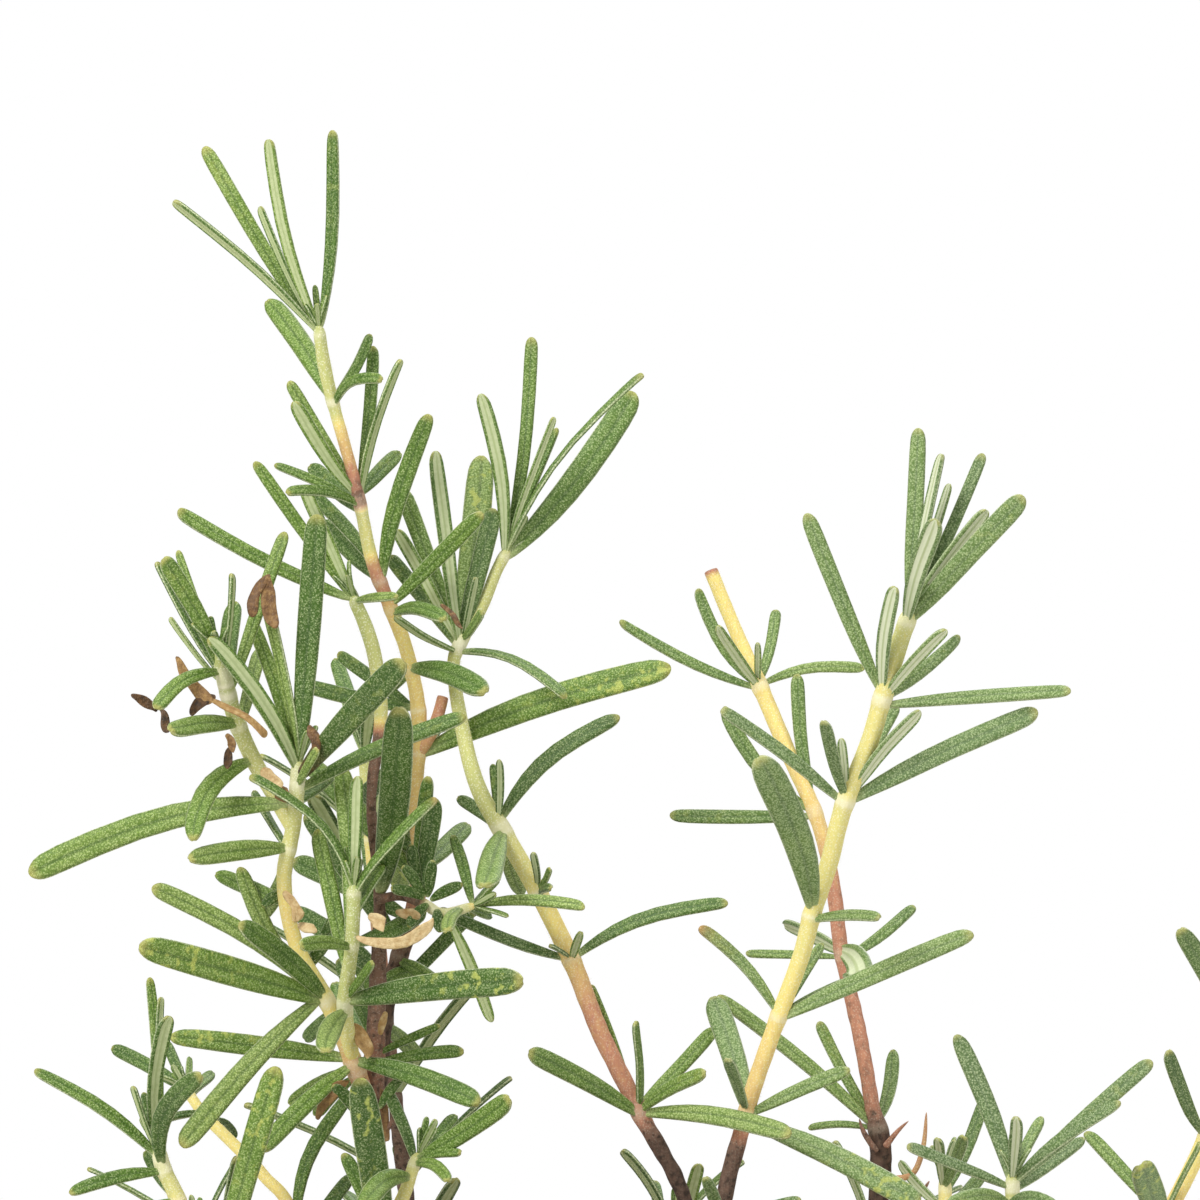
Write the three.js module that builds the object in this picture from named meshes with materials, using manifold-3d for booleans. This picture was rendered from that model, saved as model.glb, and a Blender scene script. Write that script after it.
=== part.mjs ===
// A potted rosemary plant, in millimetres, +Z up. The origin is the centre of the pot's underside.
// Front is -Y. Each leafy shoot is one solid: a stem with its blades rooted in the middle of it.
import * as THREE from "three";
import * as BufferGeometryUtils from "three/addons/utils/BufferGeometryUtils.js";
import Module from "manifold-3d";

// Pot: a plain tapered grower's pot.
const POT_HEIGHT = 88;
const POT_TOP_RADIUS = 54;
const POT_BASE_RADIUS = 39;
const POT_WALL = 2.4;
const POT_FLOOR = 3;
const RIM_HEIGHT = 11;
const RIM_STEP = 2.2;
const RIM_BEAD = 0.5;
const RIM_WIDTH = 3.6;
const EDGE_ROUND = 0.8;
const DRAIN_HOLES = 4;
const DRAIN_RADIUS = 4;
const DRAIN_RING = 24;
const DRAIN_SIDES = 8;
const ROUND_SIDES = 24;

// Soil: fills the pot, with a plain hole for each stem.
const SOIL_TOP = 78;
const SOIL_GAP = 0.4;
const SOIL_MOUND = 2.5;
const SOIL_EDGE = 3;
const SOIL_SHOULDER = 5;
const HOLE_DEPTH = 24;
const HOLE_GAP = 1;
const HOLE_SIDES = 4;
const STEM_END = 58;

// Blades: a lens-shaped section, widest past the middle, with a narrow foot.
const STEM_SIDES = 4;
const BLADE_ROOT = 0.34;
const BROAD_RINGS = [[0, 0.4], [0.38, 1], [0.72, 0.97], [0.93, 0.6]];
const BLADE_RINGS = [[0, 0.4], [0.42, 1], [0.86, 0.82]];
const SMALL_RINGS = [[0, 0.6], [0.65, 1]];
const WIDEST_FROM = 0.45;
const TIP_FROM = 0.8;
const BROAD_BLADE = 3.3;
const SMALL_BLADE = 1.65;
const HALF_THICK = 0.3;
const THICK_PER_WIDTH = 0.09;

// Front view: the tables give each point where it stands in a view from straight in front,
// from this height and this far away.
const EYE_HEIGHT = 215;
const EYE_DISTANCE = 950;

// Keeping clear: a blade that would cross another is swung aside in steps of this much at its tip.
const SWING = 1.2;
const SWINGS = [0, 1, -1, 2, -2, 3, -3, 4, -4, 5, -5, 6, -6, 7, -7, 8, -8];
const SAMPLES = 12;
const FREE_FROM = 5;
const SHARE = 0.42;
const LEAST_SWELL = 0.4;
const CLEAR = 0.45;
const STEM_STEP = 1.5;

// A blade that looks too short for its width points towards the eye or away from it.
const TRUE_LENGTH = 7.5;
const HIDDEN_SHARE = 0.7;

/* Shoots seen from the front.
   A stem's rows are x, z, depth and radius, from the soil up. Depth grows away from the eye.
   A side is the same for a branch that grows out of the stem before it.
   A blade's row is the height of its root on the stem, tip x, tip z, lean, width, bow and face.
     lean: how much deeper the tip lies than the root
     bow: how far the middle stands off the straight line, towards the upper side
     face: 0 shows the upper side, 90 turns it upwards, 180 shows the underside */
const SHOOTS = {
  tall_left_shoot: [
    {
      stem: [
        [-19, 58, 10, 1.6], [-19, 84, 10, 1.6], [-24, 118, 10, 1.5], [-27.8, 142, 10, 1.4],
        [-27.6, 156, 10, 1.3], [-26.4, 166, 9, 1.2], [-23.3, 176, 8, 1.2], [-22.4, 183, 8, 1.15],
        [-23.2, 190, 8, 1.1], [-22.6, 200, 7, 1], [-24, 208, 6, 0.95], [-26, 213.6, 5, 0.95],
        [-28.5, 220, 3.5, 0.9], [-30, 227, 2, 0.8], [-31.5, 233, 0.5, 0.8], [-33.2, 239, -1, 0.8],
        [-34.5, 244.5, -2, 0.9], [-35.2, 249.5, -3, 0.7],
      ],
      blades: [
        [248.5, -33.5, 273.8, 1, 2.2, -0.9, 25], [248.5, -41.4, 272.6, -4, 2.1, -1.2, 155],
        [248.5, -42.6, 264.2, 1, 1.4, -0.5, 130], [248, -49.4, 271.8, 4, 2.2, -0.4, 10],
        [248.3, -53.4, 264.7, -2, 2.2, 0.8, 120], [240, -41.6, 252.5, 4, 3.3, 0.6, 5],
        [239.3, -27.2, 242.3, -4, 2, 1.9, 25], [240, -28.6, 248.2, 2, 1.7, -0.5, -20],
        [228, -38.2, 239.9, -3, 2.2, -0.6, 165], [228, -39.1, 242.4, 2, 2, 0, 10],
        [228, -28.3, 246.8, 3, 1.9, -0.4, 20], [227.5, -25, 245.2, -1, 2.1, 0.7, 125],
        [228, -25, 233.3, 4, 2.2, 0.2, 0], [227, -40.8, 231.9, 1, 1.6, 0.4, 30],
        [226.8, -39.3, 228.4, -3, 2, 1.2, 30], [226, -36.2, 231.7, 5, 2.5, 0, 0],
        [219.5, -36.6, 228.6, 1, 2.3, 0.6, 20], [217.5, -34.6, 224.6, 5, 2.8, 0, 0],
        [217, -21.2, 238.4, -6, 2.7, 1.1, 10], [217.5, -24.6, 229.2, 1, 1.8, 0.5, 60],
        [214.3, -14.8, 226, -7, 2.6, 0, 5], [213.3, -19.4, 212.6, -5, 2.6, 1.2, 20],
        [206.5, -14.3, 203.6, -6, 3.5, 0.9, 10], [206, -30.6, 201, 2, 2.8, 0.3, 0],
        [195.5, 9, 206.3, -9, 4.3, 1.5, 5], [201.5, -37.5, 204.5, 2, 2.4, -0.4, 10],
        [201, -32.8, 208.5, 4, 2, 0, 0], [189, -25.4, 178.7, 2, 3.5, 0, 5],
        [178, -21.5, 193, -4, 2.4, 0, 10], [165, -16, 176, 5, 2.2, 0, 10],
        [158, -33, 170, 5, 2.4, 0.5, 0], [183, -33, 190, 3, 3, 0.4, 5], [181, -16.5, 187, 4, 2.8, 0, 10],
        [175, -38.5, 182.5, 4, 3.2, 0.5, 5], [171, -36.5, 188.5, 6, 3.2, 0.3, 5],
        [170, -19, 165.6, -2, 2.6, 0.4, 10], [167, -38.5, 176.5, 3, 3.2, 0.5, 5],
        [196, -31, 189, 5, 2.8, 0.3, 5], [180, -36.8, 195, 3, 3.2, 0.4, 5],
        [163, -32, 172.5, 1, 3, 0.3, 5], [162, -22.6, 158, 2, 2.4, 0, 5],
      ],
    },
    {
      side: [
        [-22.9, 195.5, 7.5, 0.9], [-20.8, 199, 6.5, 0.85], [-19.6, 203, 6, 0.75],
      ],
      blades: [],
    },
  ],
  middle_shoot: [
    {
      stem: [
        [9, 58, 8, 1.5], [9, 84, 8, 1.5], [13, 110, 6, 1.4], [13.5, 125, 5, 1.2], [10.6, 140, 4, 1],
        [5.2, 150.5, 3, 1.15], [0, 161, 3, 1.2], [-3.4, 169.6, 3, 1.25], [-7.5, 178, 3, 1.2],
        [-12, 185.8, 3, 1.2], [-15, 191, 3, 1.1], [-16.8, 197, 4, 1], [-18.3, 206, 6, 0.85],
        [-17.5, 209.5, 7, 0.85], [-14.8, 214, 9, 0.8], [-13, 218.5, 11, 0.8], [-11.4, 221.5, 12, 0.75],
      ],
      blades: [
        [220.5, -14.7, 240.9, -3, 2.4, 1, 165], [221, -8.4, 247.9, 3, 2, -0.7, 10],
        [221, -5.7, 237.8, -3, 1.3, 0.3, 150], [221, -5.2, 236.6, 1, 1.2, 0.2, 30],
        [220.5, 5.3, 243.2, -2, 2.2, 2.2, 80], [220, 4.2, 241, 2, 4, -1.2, 0],
        [209, -14.8, 233.2, 3, 4.2, -0.4, 0], [209.5, -13.2, 226.5, 6, 2.8, 0, 0],
        [209, -20.8, 233.6, -3, 2.5, 0, -150], [210, -15.3, 217.8, -2, 1.3, 0, 150],
        [210, -14.7, 213.6, -4, 1.6, 0, 20], [208.5, -4.4, 202.6, -3, 2.3, 2.2, 60],
        [208.5, -25.6, 213, -2, 1.8, -0.4, 110], [209.5, -24.8, 228.8, 6, 2.4, 0, 0],
        [209.5, -25.2, 223.8, 3, 2.2, 0, 150], [209, -26.4, 220.5, 0, 2.2, 0.3, 15],
        [187, 2.6, 200.3, -1, 2.6, 2.3, 15], [187, -12.5, 195, -3, 1.3, 0, 180],
        [187, -13.4, 194.6, 1, 1.3, 0, 10], [186, -17.6, 190.1, 4, 2, 0.4, 0],
        [186, -14.2, 179, -5, 3.8, 0.3, 0], [185.5, -9.9, 178, 4, 2.4, -0.3, 0],
        [178.5, -8.4, 183.5, -3, 1.1, 0.2, 150], [178.5, -6.2, 181.3, -1, 1.1, 0, 30],
        [178, -6, 178.9, -3, 1.4, 0.6, 20], [170, -20.3, 176.5, -2, 2, -0.5, 35],
        [170, 16.3, 177, -2, 2.2, 2.2, 20], [170, -2.4, 173.3, -3, 1.3, 0, 180],
        [170, -6.3, 172, -2, 1, 0.3, 120], [152, -1, 166.9, 3, 1.3, 0, 10],
        [150.5, -8.9, 158.6, -2, 3, 0.4, 15], [151, 4.5, 162.4, -3, 2, 0.3, 60],
        [151.5, 14.2, 161.4, 1, 2.3, -0.3, 15], [151, 13.1, 155.8, -2, 2.3, 0.7, 20],
        [150.8, 23.8, 148.2, -15, 3, 1.2, 15],
      ],
    },
  ],
  right_shoot: [
    {
      stem: [
        [15, 58, -6, 1.6], [15, 84, -6, 1.6], [15.5, 115, -4, 1.4], [15, 136, -3, 1.1],
        [18.2, 150.6, -3, 1.1], [21.8, 161.5, -4, 1.1], [25, 170, -6, 1.15], [26.6, 176, -7, 1.2],
        [28.6, 182, -8, 1.2], [30.4, 189, -9, 1.2], [33.6, 197, -11, 1.2], [35.4, 203, -12, 1.2],
        [37.4, 209.5, -14, 1.2], [39, 214, -15, 1],
      ],
      blades: [
        [213, 39.9, 236.6, 2, 2.6, 0, 15], [213, 42.7, 233.3, 0, 2.2, 0.3, -125],
        [213, 44, 229.6, -1, 1.4, 0, -150], [213, 48, 233.4, 3, 1.9, -0.3, 10],
        [212, 52.9, 228.1, -2, 3.2, 0, 5], [212.5, 48.7, 226.2, -5, 2.5, 0.6, 140],
        [212, 42.2, 225.2, -6, 3, 0.5, -160], [203, 37, 216.7, -4, 2.5, 0.7, -150],
        [203, 25.9, 225.9, -1, 2.5, -0.3, 10], [202.5, 43.3, 211.3, -4, 2.1, 0.3, 160],
        [202.5, 45, 210.5, 0, 2, -0.4, 20], [201.8, 58.9, 203.6, -2, 2.3, 0.2, 25],
        [189.5, 15.3, 201.5, -3, 2.2, 0.3, 35], [190, 28, 199.9, -1, 2.1, -0.2, -20],
        [190, 30.3, 197.8, -4, 1.4, 0, 180], [190, 39.9, 201.2, -3, 2.2, 0.4, 145],
        [190.5, 36.9, 202, 2, 2, 0, 20], [189.5, 54.9, 201.1, -3, 3.1, 0.6, 10],
        [175, 35, 175.2, -5, 2.1, 0.5, 40], [176, 19.8, 195.2, -3, 4.6, 1.4, 5],
        [163, 12.4, 174, -2, 2, 1.2, 35], [162.5, 46.4, 173.2, -5, 2.9, 0.4, 10],
        [163, 31, 167.6, 1, 1.5, 0.3, 60], [163, 27.8, 172, 4, 1.6, 0, 0],
        [151, 14, 165.6, 1, 3.7, 0.5, 0], [151, 15.8, 157.7, -4, 1.9, 0.2, -30],
        [150.5, 31.2, 156.3, -3, 2.1, 0.3, 15], [150, 40, 139.4, -4, 3.5, 0.8, 10],
        [136, 13.3, 142.8, -3, 1.8, 0.4, 0], [134, 25.2, 140, -4, 2, 1.6, 10],
      ],
    },
  ],
  cut_shoot: [
    {
      stem: [
        [26, 58, 12, 1.7], [26, 84, 12, 1.7], [32, 115, 14, 1.5], [34.8, 140, 15, 1.4],
        [35, 147, 15, 1.5], [34, 152, 15, 1], [32.6, 160, 16, 1], [30.2, 171, 18, 1], [29.2, 179, 19, 1],
        [27.2, 187.5, 20, 1], [23.5, 196, 22, 1.1], [20, 204.2, 24, 1.1], [16.8, 211.5, 26, 0.95],
        [13.8, 218.8, 27, 0.95],
      ],
      blades: [
        [203.8, 2.4, 212.4, 0, 1.8, -0.9, 25], [204, 12.2, 216.4, 1, 1.9, -1.4, 10],
        [204, 14.6, 211.7, -2, 1.9, -0.3, 170], [204.3, 33, 206.4, 0, 1.8, 1.3, 20],
        [204.5, 21.9, 213.9, 1, 1.7, -0.4, 10], [204.5, 19.7, 209.8, -2, 1.2, 0, 160],
        [188, 8.8, 188.1, 1, 2.2, -0.2, 15], [188.5, 15.3, 201.6, 2, 2.3, -1.7, 10],
        [189, 24.5, 205.9, 2, 2.2, -0.4, 10], [170.3, 18.2, 170.7, 2, 1.4, 0.2, 20],
        [171, 23.2, 174.4, 0, 3, 0.3, 160], [171.2, 31.8, 166.6, -7, 4.8, 1.5, 170],
        [170, 39.4, 176.7, 1, 1.8, -0.4, 10], [149.5, 36.4, 158.8, 1, 2.2, -0.9, 20],
        [148.8, 25.9, 148.7, 2, 1.2, 0.8, 30], [149, 27.2, 162.4, 3, 1.8, -0.3, 15],
        [148.8, 14.6, 165.4, -1, 2.5, 0.8, 30],
      ],
    },
  ],
  front_left_shoot: [
    {
      stem: [
        [-13, 58, -1, 2], [-13, 84, -1, 2], [-24, 118, 0, 1.8], [-28.6, 142, 1, 1.6],
        [-28.4, 152, 1, 1.5], [-27.8, 166, 2, 1.2], [-27.6, 178, 2, 0.75], [-28.6, 190, 1, 0.65],
        [-27.4, 200, 0, 0.9], [-28, 207, 0, 0.95], [-29.2, 211.5, 0, 0.95], [-31, 215.6, 0, 0.8],
      ],
      blades: [
        [214.8, -43.3, 232.2, 0, 2, 0, 15], [214.8, -37.3, 229.5, -3, 2, 0, 170],
        [215, -52.9, 226.3, -1, 2.5, -0.8, 20], [214.8, -25.3, 215.2, -3, 1.7, 0.4, 30],
        [211, -32.5, 219, 1, 1.6, 0.3, 150], [178, -25.2, 201.6, -4, 4.8, -0.8, 5],
        [166, -23.6, 168.8, 1, 2.4, 0.6, 10], [158, -20, 161.8, -3, 1.4, 0.2, 20],
        [157, -16.9, 158.7, -1, 2, 0.3, 20],
      ],
    },
    {
      side: [
        [-28.4, 150, 1, 1.3], [-31, 157.6, -2, 1.2], [-34.2, 165, -5, 1.1], [-38, 172, -6, 1],
        [-39.5, 180, -7, 1], [-38.3, 187, -8, 1], [-37.6, 195, -8, 0.9],
      ],
      blades: [
        [194, -35.3, 225.8, -2, 3.4, 0, 10], [194.5, -42.1, 216.3, -1, 2.4, 0.4, -50],
        [194.5, -43.7, 212.9, 1, 2.3, 0.3, 15], [193.5, -48.9, 210.3, -3, 3, 1.2, 30],
        [191, -17, 200.2, -5, 2.7, 1, 30], [189.5, -32.6, 194, 1, 2.2, 0, 10],
        [191.5, -35.5, 196.4, -3, 1.4, 0, 20], [189.5, -71.4, 180.6, 0, 4, 2.7, 10],
        [192.5, -24.6, 207.4, -6, 3.8, 0.3, 5], [184, -51.4, 182.6, -4, 3, 0.4, 5],
        [183.5, -43.3, 191, 2, 1.8, 0, 60], [165, -44.8, 181.8, 2, 2.6, -2, 10],
        [164.5, -56.1, 179, 0, 2.7, 1.9, 10], [165, -45.2, 174.6, -4, 3.3, 0.8, 15],
        [164.8, -57.4, 171.6, -4, 4.3, 0.4, 5], [165.6, -52.3, 146.4, -8, 3.2, 1, 10],
        [157.6, -53.8, 160.3, -1, 3, 0.3, 5], [157, -42.4, 145.9, -6, 2.9, 0.6, 10],
        [156.5, -38.8, 152, 0, 2, 0.5, 10], [157.4, -14.8, 152.2, -6, 3.3, 0.8, 5],
        [155.5, -35.4, 150.3, 0, 1.9, 0.6, 10], [184, -43.2, 174.5, 3, 2.6, -1, 10],
        [177, -47.8, 180.6, 3, 2.4, 0, 5],
      ],
    },
    {
      side: [
        [-31, 157.6, -2, 1.1], [-31.9, 164.5, -7, 1], [-31, 172, -10, 0.9], [-30.8, 179.5, -11, 0.9],
      ],
      blades: [
        [178.8, -30.4, 193.2, -2, 2, 0, 180], [178.6, -43.9, 192.8, -2, 2.1, 3, 60],
        [178, -20.3, 190.1, -3, 2.3, 1.1, 60], [175, -27.2, 181.8, 2, 2, 0.3, 40],
        [171.5, -37.6, 171.8, -1, 2.2, 0.6, 10], [164.8, -9.8, 167.3, -5, 4.1, 0.6, 5],
        [165, -28.5, 169.7, -3, 1.5, 0, 20], [163.5, -34.2, 158.6, -5, 3.3, 0.8, 0],
        [164, -36.9, 160.2, 2, 2.2, 0.3, 10], [170, -32.3, 194.4, 4, 3, 0.8, 5],
        [168, -35.4, 186.6, 4, 2.5, 0, 5], [172, -22, 176.3, 1, 2.6, -0.6, 10],
      ],
    },
    {
      side: [
        [-38.4, 186.5, -8, 1], [-41, 191, -7, 1], [-43.3, 195, -6, 1.1], [-45.5, 200, -8, 1.1],
        [-46.8, 204.5, -10, 1], [-47.8, 209, -12, 0.8],
      ],
      blades: [
        [205.5, -54.5, 220.3, -1, 2.6, 0.6, 10], [205, -55.4, 220, 2, 1.6, -0.5, 60],
        [207, -52.8, 221.4, 3, 1.3, -0.3, 10], [204, -53.8, 212.7, 0, 1, -0.3, 120],
        [206, -45.9, 218.5, -1, 1.8, -0.2, 110], [206, -55.5, 201.1, -1, 2.3, 1.7, 10],
        [199.5, -53.8, 198.5, -2, 3, 0.6, 10], [195, -50.9, 185.1, -4, 3.2, 2.4, 5],
        [203, -39.5, 223.5, 4, 2, 0, 0], [203, -45.6, 214.8, 4, 2.8, 0.6, 5],
        [199, -42.5, 209, 2, 2.2, 0, 5],
      ],
    },
    {
      side: [
        [-28, 177.5, 1.5, 0.65], [-25, 178, 0, 0.65], [-22, 177, -1, 0.65], [-19.6, 175.8, -2, 0.65],
        [-15.5, 176.9, -4, 0.55],
      ],
      blades: [
        [177.2, -20.5, 190.6, 0, 2.7, 0, 10], [176.4, -19.2, 173.6, -2, 2.4, 0.5, 10],
        [176.8, -18.2, 185.6, 0, 1.8, 0, 10], [176.8, -13.6, 179.2, 0, 1.3, 0, 20],
        [176.8, -1.7, 176.7, -1, 1.8, 0.9, 15], [176.6, -13.8, 175.4, 1, 1.2, 0, 20],
        [175.9, -13.6, 162.2, 1, 1.9, 0.3, 165],
      ],
    },
  ],
  low_left_shoot: [
    {
      stem: [
        [-31, 58, -7, 1.5], [-31, 84, -7, 1.5], [-44, 115, -10, 1.3], [-52, 138, -13, 1.1],
        [-54.6, 144, -14, 1], [-55.2, 147, -14, 0.8],
      ],
      blades: [
        [145, -70.8, 156.5, -1, 2.2, 1, 30], [145.5, -58.4, 154.3, -2, 1.5, -0.3, 120],
        [145.5, -57.2, 153.6, 1, 1.4, 0, 20], [145.5, -53.9, 162.9, -3, 2.6, 1.5, 140],
        [146, -56, 167.7, 3, 1.6, 0.3, 15], [146, -54.7, 165.3, 1, 1.1, 0.5, 150],
        [144, -49.6, 155.6, -4, 3, 2.8, 10], [143.5, -66.1, 140.7, -2, 2.2, 0.9, 20],
        [140, -57, 146, 4, 1.9, 0, 10], [140, -63, 134, -3, 2, 1, 10], [134, -44, 142, 2, 2, 0.4, 10],
        [130, -60, 136, 3, 2.2, 0.5, 10], [128, -42, 134, -5, 2.2, 0.6, 10],
        [120, -56, 122, -4, 2.4, 0.8, 10], [118, -35, 126, 2, 2.2, 0.5, 10],
        [108, -50, 113, -4, 2.2, 0.6, 10], [106, -30, 113, -5, 2.4, 0.6, 10],
        [128, -40.6, 156.6, -6, 3.6, 0, 5],
      ],
    },
  ],
  yellow_stemmed_shoot: [
    {
      stem: [
        [-29, 58, 5, 1.3], [-29, 84, 5, 1.3], [-33, 115, 5, 1.1], [-38, 137, 6, 0.85], [-42, 143, 7, 0.8],
        [-46, 147.2, 9, 0.8], [-49.6, 150.8, 10, 0.75], [-52, 154.3, 11, 0.6],
      ],
      blades: [
        [153.5, -61.2, 158.9, 0, 2.2, 0.5, 10], [153.5, -54.4, 159.8, 1, 1.6, 0, 10],
        [153.5, -51.4, 157.8, 1, 1.1, 0, 20], [153, -48.5, 155.8, 2, 1.8, 0.3, 10],
        [150, -45.7, 147.9, 2, 1.4, 0.8, 20], [151, -55, 149.6, -2, 1.3, 0.3, 20],
        [137, -49, 139, 3, 2, 0.6, 10], [134, -31, 143, 4, 2.2, 0.4, 10],
        [122, -46, 126, 4, 2.2, 0.6, 10], [118, -24, 128, 6, 2.2, 0.4, 10],
        [104, -42, 108, 6, 2.2, 0.6, 10], [137, -31.2, 153, 2, 2.3, 2, 10],
      ],
    },
  ],
  low_front_shoot: [
    {
      stem: [
        [-15, 58, -16, 1.4], [-15, 84, -16, 1.4], [-22, 112, -13, 1.2], [-26.5, 132, -10, 1],
        [-24, 142, -9, 0.85], [-22.6, 146, -9, 0.7],
      ],
      blades: [
        [144.5, -26.7, 153.7, 2, 1.9, 0.4, 15], [145, -17.8, 150.6, 1, 1.8, 0, 15],
        [145, -11.1, 152.7, -1, 3.1, -0.3, 10], [145, -17.4, 146, -3, 1.4, 0.4, 20],
        [144.5, -19, 142.2, -3, 2, 1.2, 10], [142.8, -29.4, 138.6, -3, 3.2, 1.8, 5],
        [132, -30.3, 154.8, -2, 4.4, 0, 0], [130, -32.3, 145.9, -2, 2.3, 1, 5],
        [128, -14, 133, -2, 2.4, 0.6, 10], [116, -36, 121, -4, 2.4, 0.8, 10],
        [114, -11, 121, -3, 2.4, 0.6, 10], [102, -31, 105, -4, 2.2, 0.6, 10],
        [100, -7, 106, -4, 2.4, 0.5, 10],
      ],
    },
  ],
  low_right_shoot: [
    {
      stem: [
        [31, 58, -10, 1.5], [31, 84, -10, 1.5], [43, 112, -13, 1.3], [50.5, 134, -15, 1],
        [51.6, 143.5, -16, 0.8],
      ],
      blades: [
        [142, 44.4, 160.6, 1, 2.8, 0.8, 5], [142.5, 52.3, 150.2, -3, 1.8, 0, 180],
        [142.5, 55.2, 150.3, 0, 1.8, 0.2, 20], [142, 69.2, 157.7, 2, 2.4, 0, 10],
        [142, 65.2, 152.2, -3, 2.4, 0.9, 50], [141, 60.5, 147.8, 0, 2.2, 0, 20],
        [141.5, 38.2, 146.7, -4, 2, 0.3, 40], [139.5, 43.6, 139.4, -1, 2.4, 1.3, 10],
        [139.5, 57, 138.8, -4, 2.3, 1.2, 10], [128, 60, 133, -2, 2.4, 0.6, 10],
        [126, 37, 133, -3, 2.4, 0.6, 10], [114, 55, 118, -4, 2.4, 0.6, 10],
        [111, 32, 120, -3, 2.4, 0.5, 10], [100, 50, 101, -4, 2.2, 0.6, 10],
      ],
    },
  ],
  short_right_shoot: [
    {
      stem: [
        [35, 58, 3, 1.3], [35, 84, 3, 1.3], [40.5, 115, 5, 1.1], [43, 138, 7, 0.9], [42.9, 143, 8, 0.7],
      ],
      blades: [
        [141.5, 42.4, 147.8, -2, 1.7, 0, 160], [141.5, 45.3, 148.2, -1, 1.9, -0.2, 15],
        [140.5, 48.3, 153.2, 3, 2, -0.4, 10], [139, 37.6, 145, 2, 1.8, -0.6, 150],
        [138, 48.2, 143.4, 2, 2, 0, 10], [126, 49, 132, 3, 2.2, 0.5, 10], [124, 34, 131, 2, 2.2, 0.5, 10],
        [106, 47, 111, 5, 2.2, 0.5, 10],
      ],
    },
  ],
  edge_shoot: [
    {
      stem: [
        [37, 58, 12, 1.5], [37, 84, 12, 1.5], [54, 112, 10, 1.3], [69, 135, 8, 1.1], [76.5, 150, 6, 1],
        [79.5, 162, 5, 0.8],
      ],
      blades: [
        [161, 72.6, 174, -1, 3, 0.3, 5], [161, 81, 178, -2, 2.4, 0, 10], [161, 88, 172, 1, 2.6, 0.3, 15],
        [160, 77.5, 171, -4, 1.8, 0, 170], [148, 71, 158.8, -3, 2.2, -0.5, 10],
        [148, 90, 153, 1, 2.6, 0.8, 15], [149, 84, 160, -4, 2, 0, 160], [138, 60.9, 148.7, 2, 2.2, 0, 15],
        [137, 67.6, 144.4, -6, 4.3, 0.2, 0], [138, 86, 138, -3, 2.6, 1, 10],
        [138, 75, 147.2, -5, 2, 0, 100], [122, 55, 131, 3, 2.4, 0.5, 10],
        [121, 74, 121, -4, 2.4, 0.8, 10], [108, 66, 106, 2, 2.4, 0.6, 10],
      ],
    },
  ],
};

/* Shoots that the front view does not show, by a rule: [angle round the pot, distance of the foot,
   distance of the top, height of the top, pairs of blades]. Angles run from +X towards +Y. */
const ROUND_SHOOTS = {
  back_left_shoot: [134, 26, 44, 196, 8],
  back_middle_shoot: [76, 22, 40, 134, 5],
  back_right_shoot: [48, 30, 54, 132, 5],
  far_right_shoot: [-12, 40, 66, 122, 4],
  far_left_shoot: [150, 36, 60, 134, 5],
  left_edge_shoot: [172, 38, 66, 124, 4],
  front_right_shoot: [-52, 28, 56, 128, 5],
  front_middle_shoot: [-84, 24, 50, 130, 5],
  front_edge_shoot: [-128, 34, 58, 126, 5],
};
const ROUND_RADIUS = [1.5, 0.8];
const ROUND_STRAIGHT = 6;
const ROUND_BENDS = [[0.35, 0.35], [0.75, 0.7]];
const ROUND_FIRST_PAIR = 0.34;
const ROUND_BLADE = [17, 8];
const ROUND_WIDTH = [2, 0.8];
const ROUND_SPREAD = [0.62, 0.22];
const ROUND_LOW_SPREAD = 0.3;
const ROUND_TURN = 0.15;
const ROUND_TOP_SHARE = 0.7;
const ROUND_LIFT = 0.6;
const ROUND_BOW = 1.1;
const SEED = 20;

const STEM_COLOUR = 0xb3a25c;
const LEAF_COLOUR = 0x5c7f3e;
const POT_COLOUR = 0xa85a3a;
const SOIL_COLOUR = 0x3a2b20;

const wasm = await Module();
wasm.setup();

let state = SEED;
function draw() {
  state = (Math.imul(state, 1664525) + 1013904223) >>> 0;
  return state / 4294967296;
}

const vec = (x, y, z) => new THREE.Vector3(x, y, z);

// A point of the front view, at its place in the room.
function seen(x, z, depth) {
  const grow = 1 + depth / EYE_DISTANCE;
  return vec(x * grow, depth, EYE_HEIGHT + (z - EYE_HEIGHT) * grow);
}

function toSolid(geometry) {
  const bare = geometry.clone();
  bare.deleteAttribute("normal");
  bare.deleteAttribute("uv");
  const merged = BufferGeometryUtils.mergeVertices(bare, 1e-4);
  const mesh = new wasm.Mesh({
    numProp: 3,
    vertProperties: new Float32Array(merged.attributes.position.array),
    triVerts: new Uint32Array(merged.index.array),
  });
  return new wasm.Manifold(mesh);
}

// The largest whole body: loose scraps go, and hollows sealed by joining are filled.
function wholeBody(solid) {
  return solid.decompose().reduce((a, b) => (b.volume() > a.volume() ? b : a));
}

function toMesh(name, solid, colour, roughness) {
  const mesh = solid.getMesh();
  const points = new Float32Array(mesh.numVert * 3);
  for (let i = 0; i < mesh.numVert; i++) {
    points.set(mesh.vertProperties.subarray(i * mesh.numProp, i * mesh.numProp + 3), i * 3);
  }
  const geometry = new THREE.BufferGeometry();
  geometry.setAttribute("position", new THREE.BufferAttribute(points, 3));
  geometry.setIndex(new THREE.BufferAttribute(mesh.triVerts, 1));
  geometry.computeVertexNormals();
  const material = new THREE.MeshStandardMaterial({ color: colour, roughness, metalness: 0 });
  const result = new THREE.Mesh(geometry, material);
  result.name = name;
  return result;
}

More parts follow.
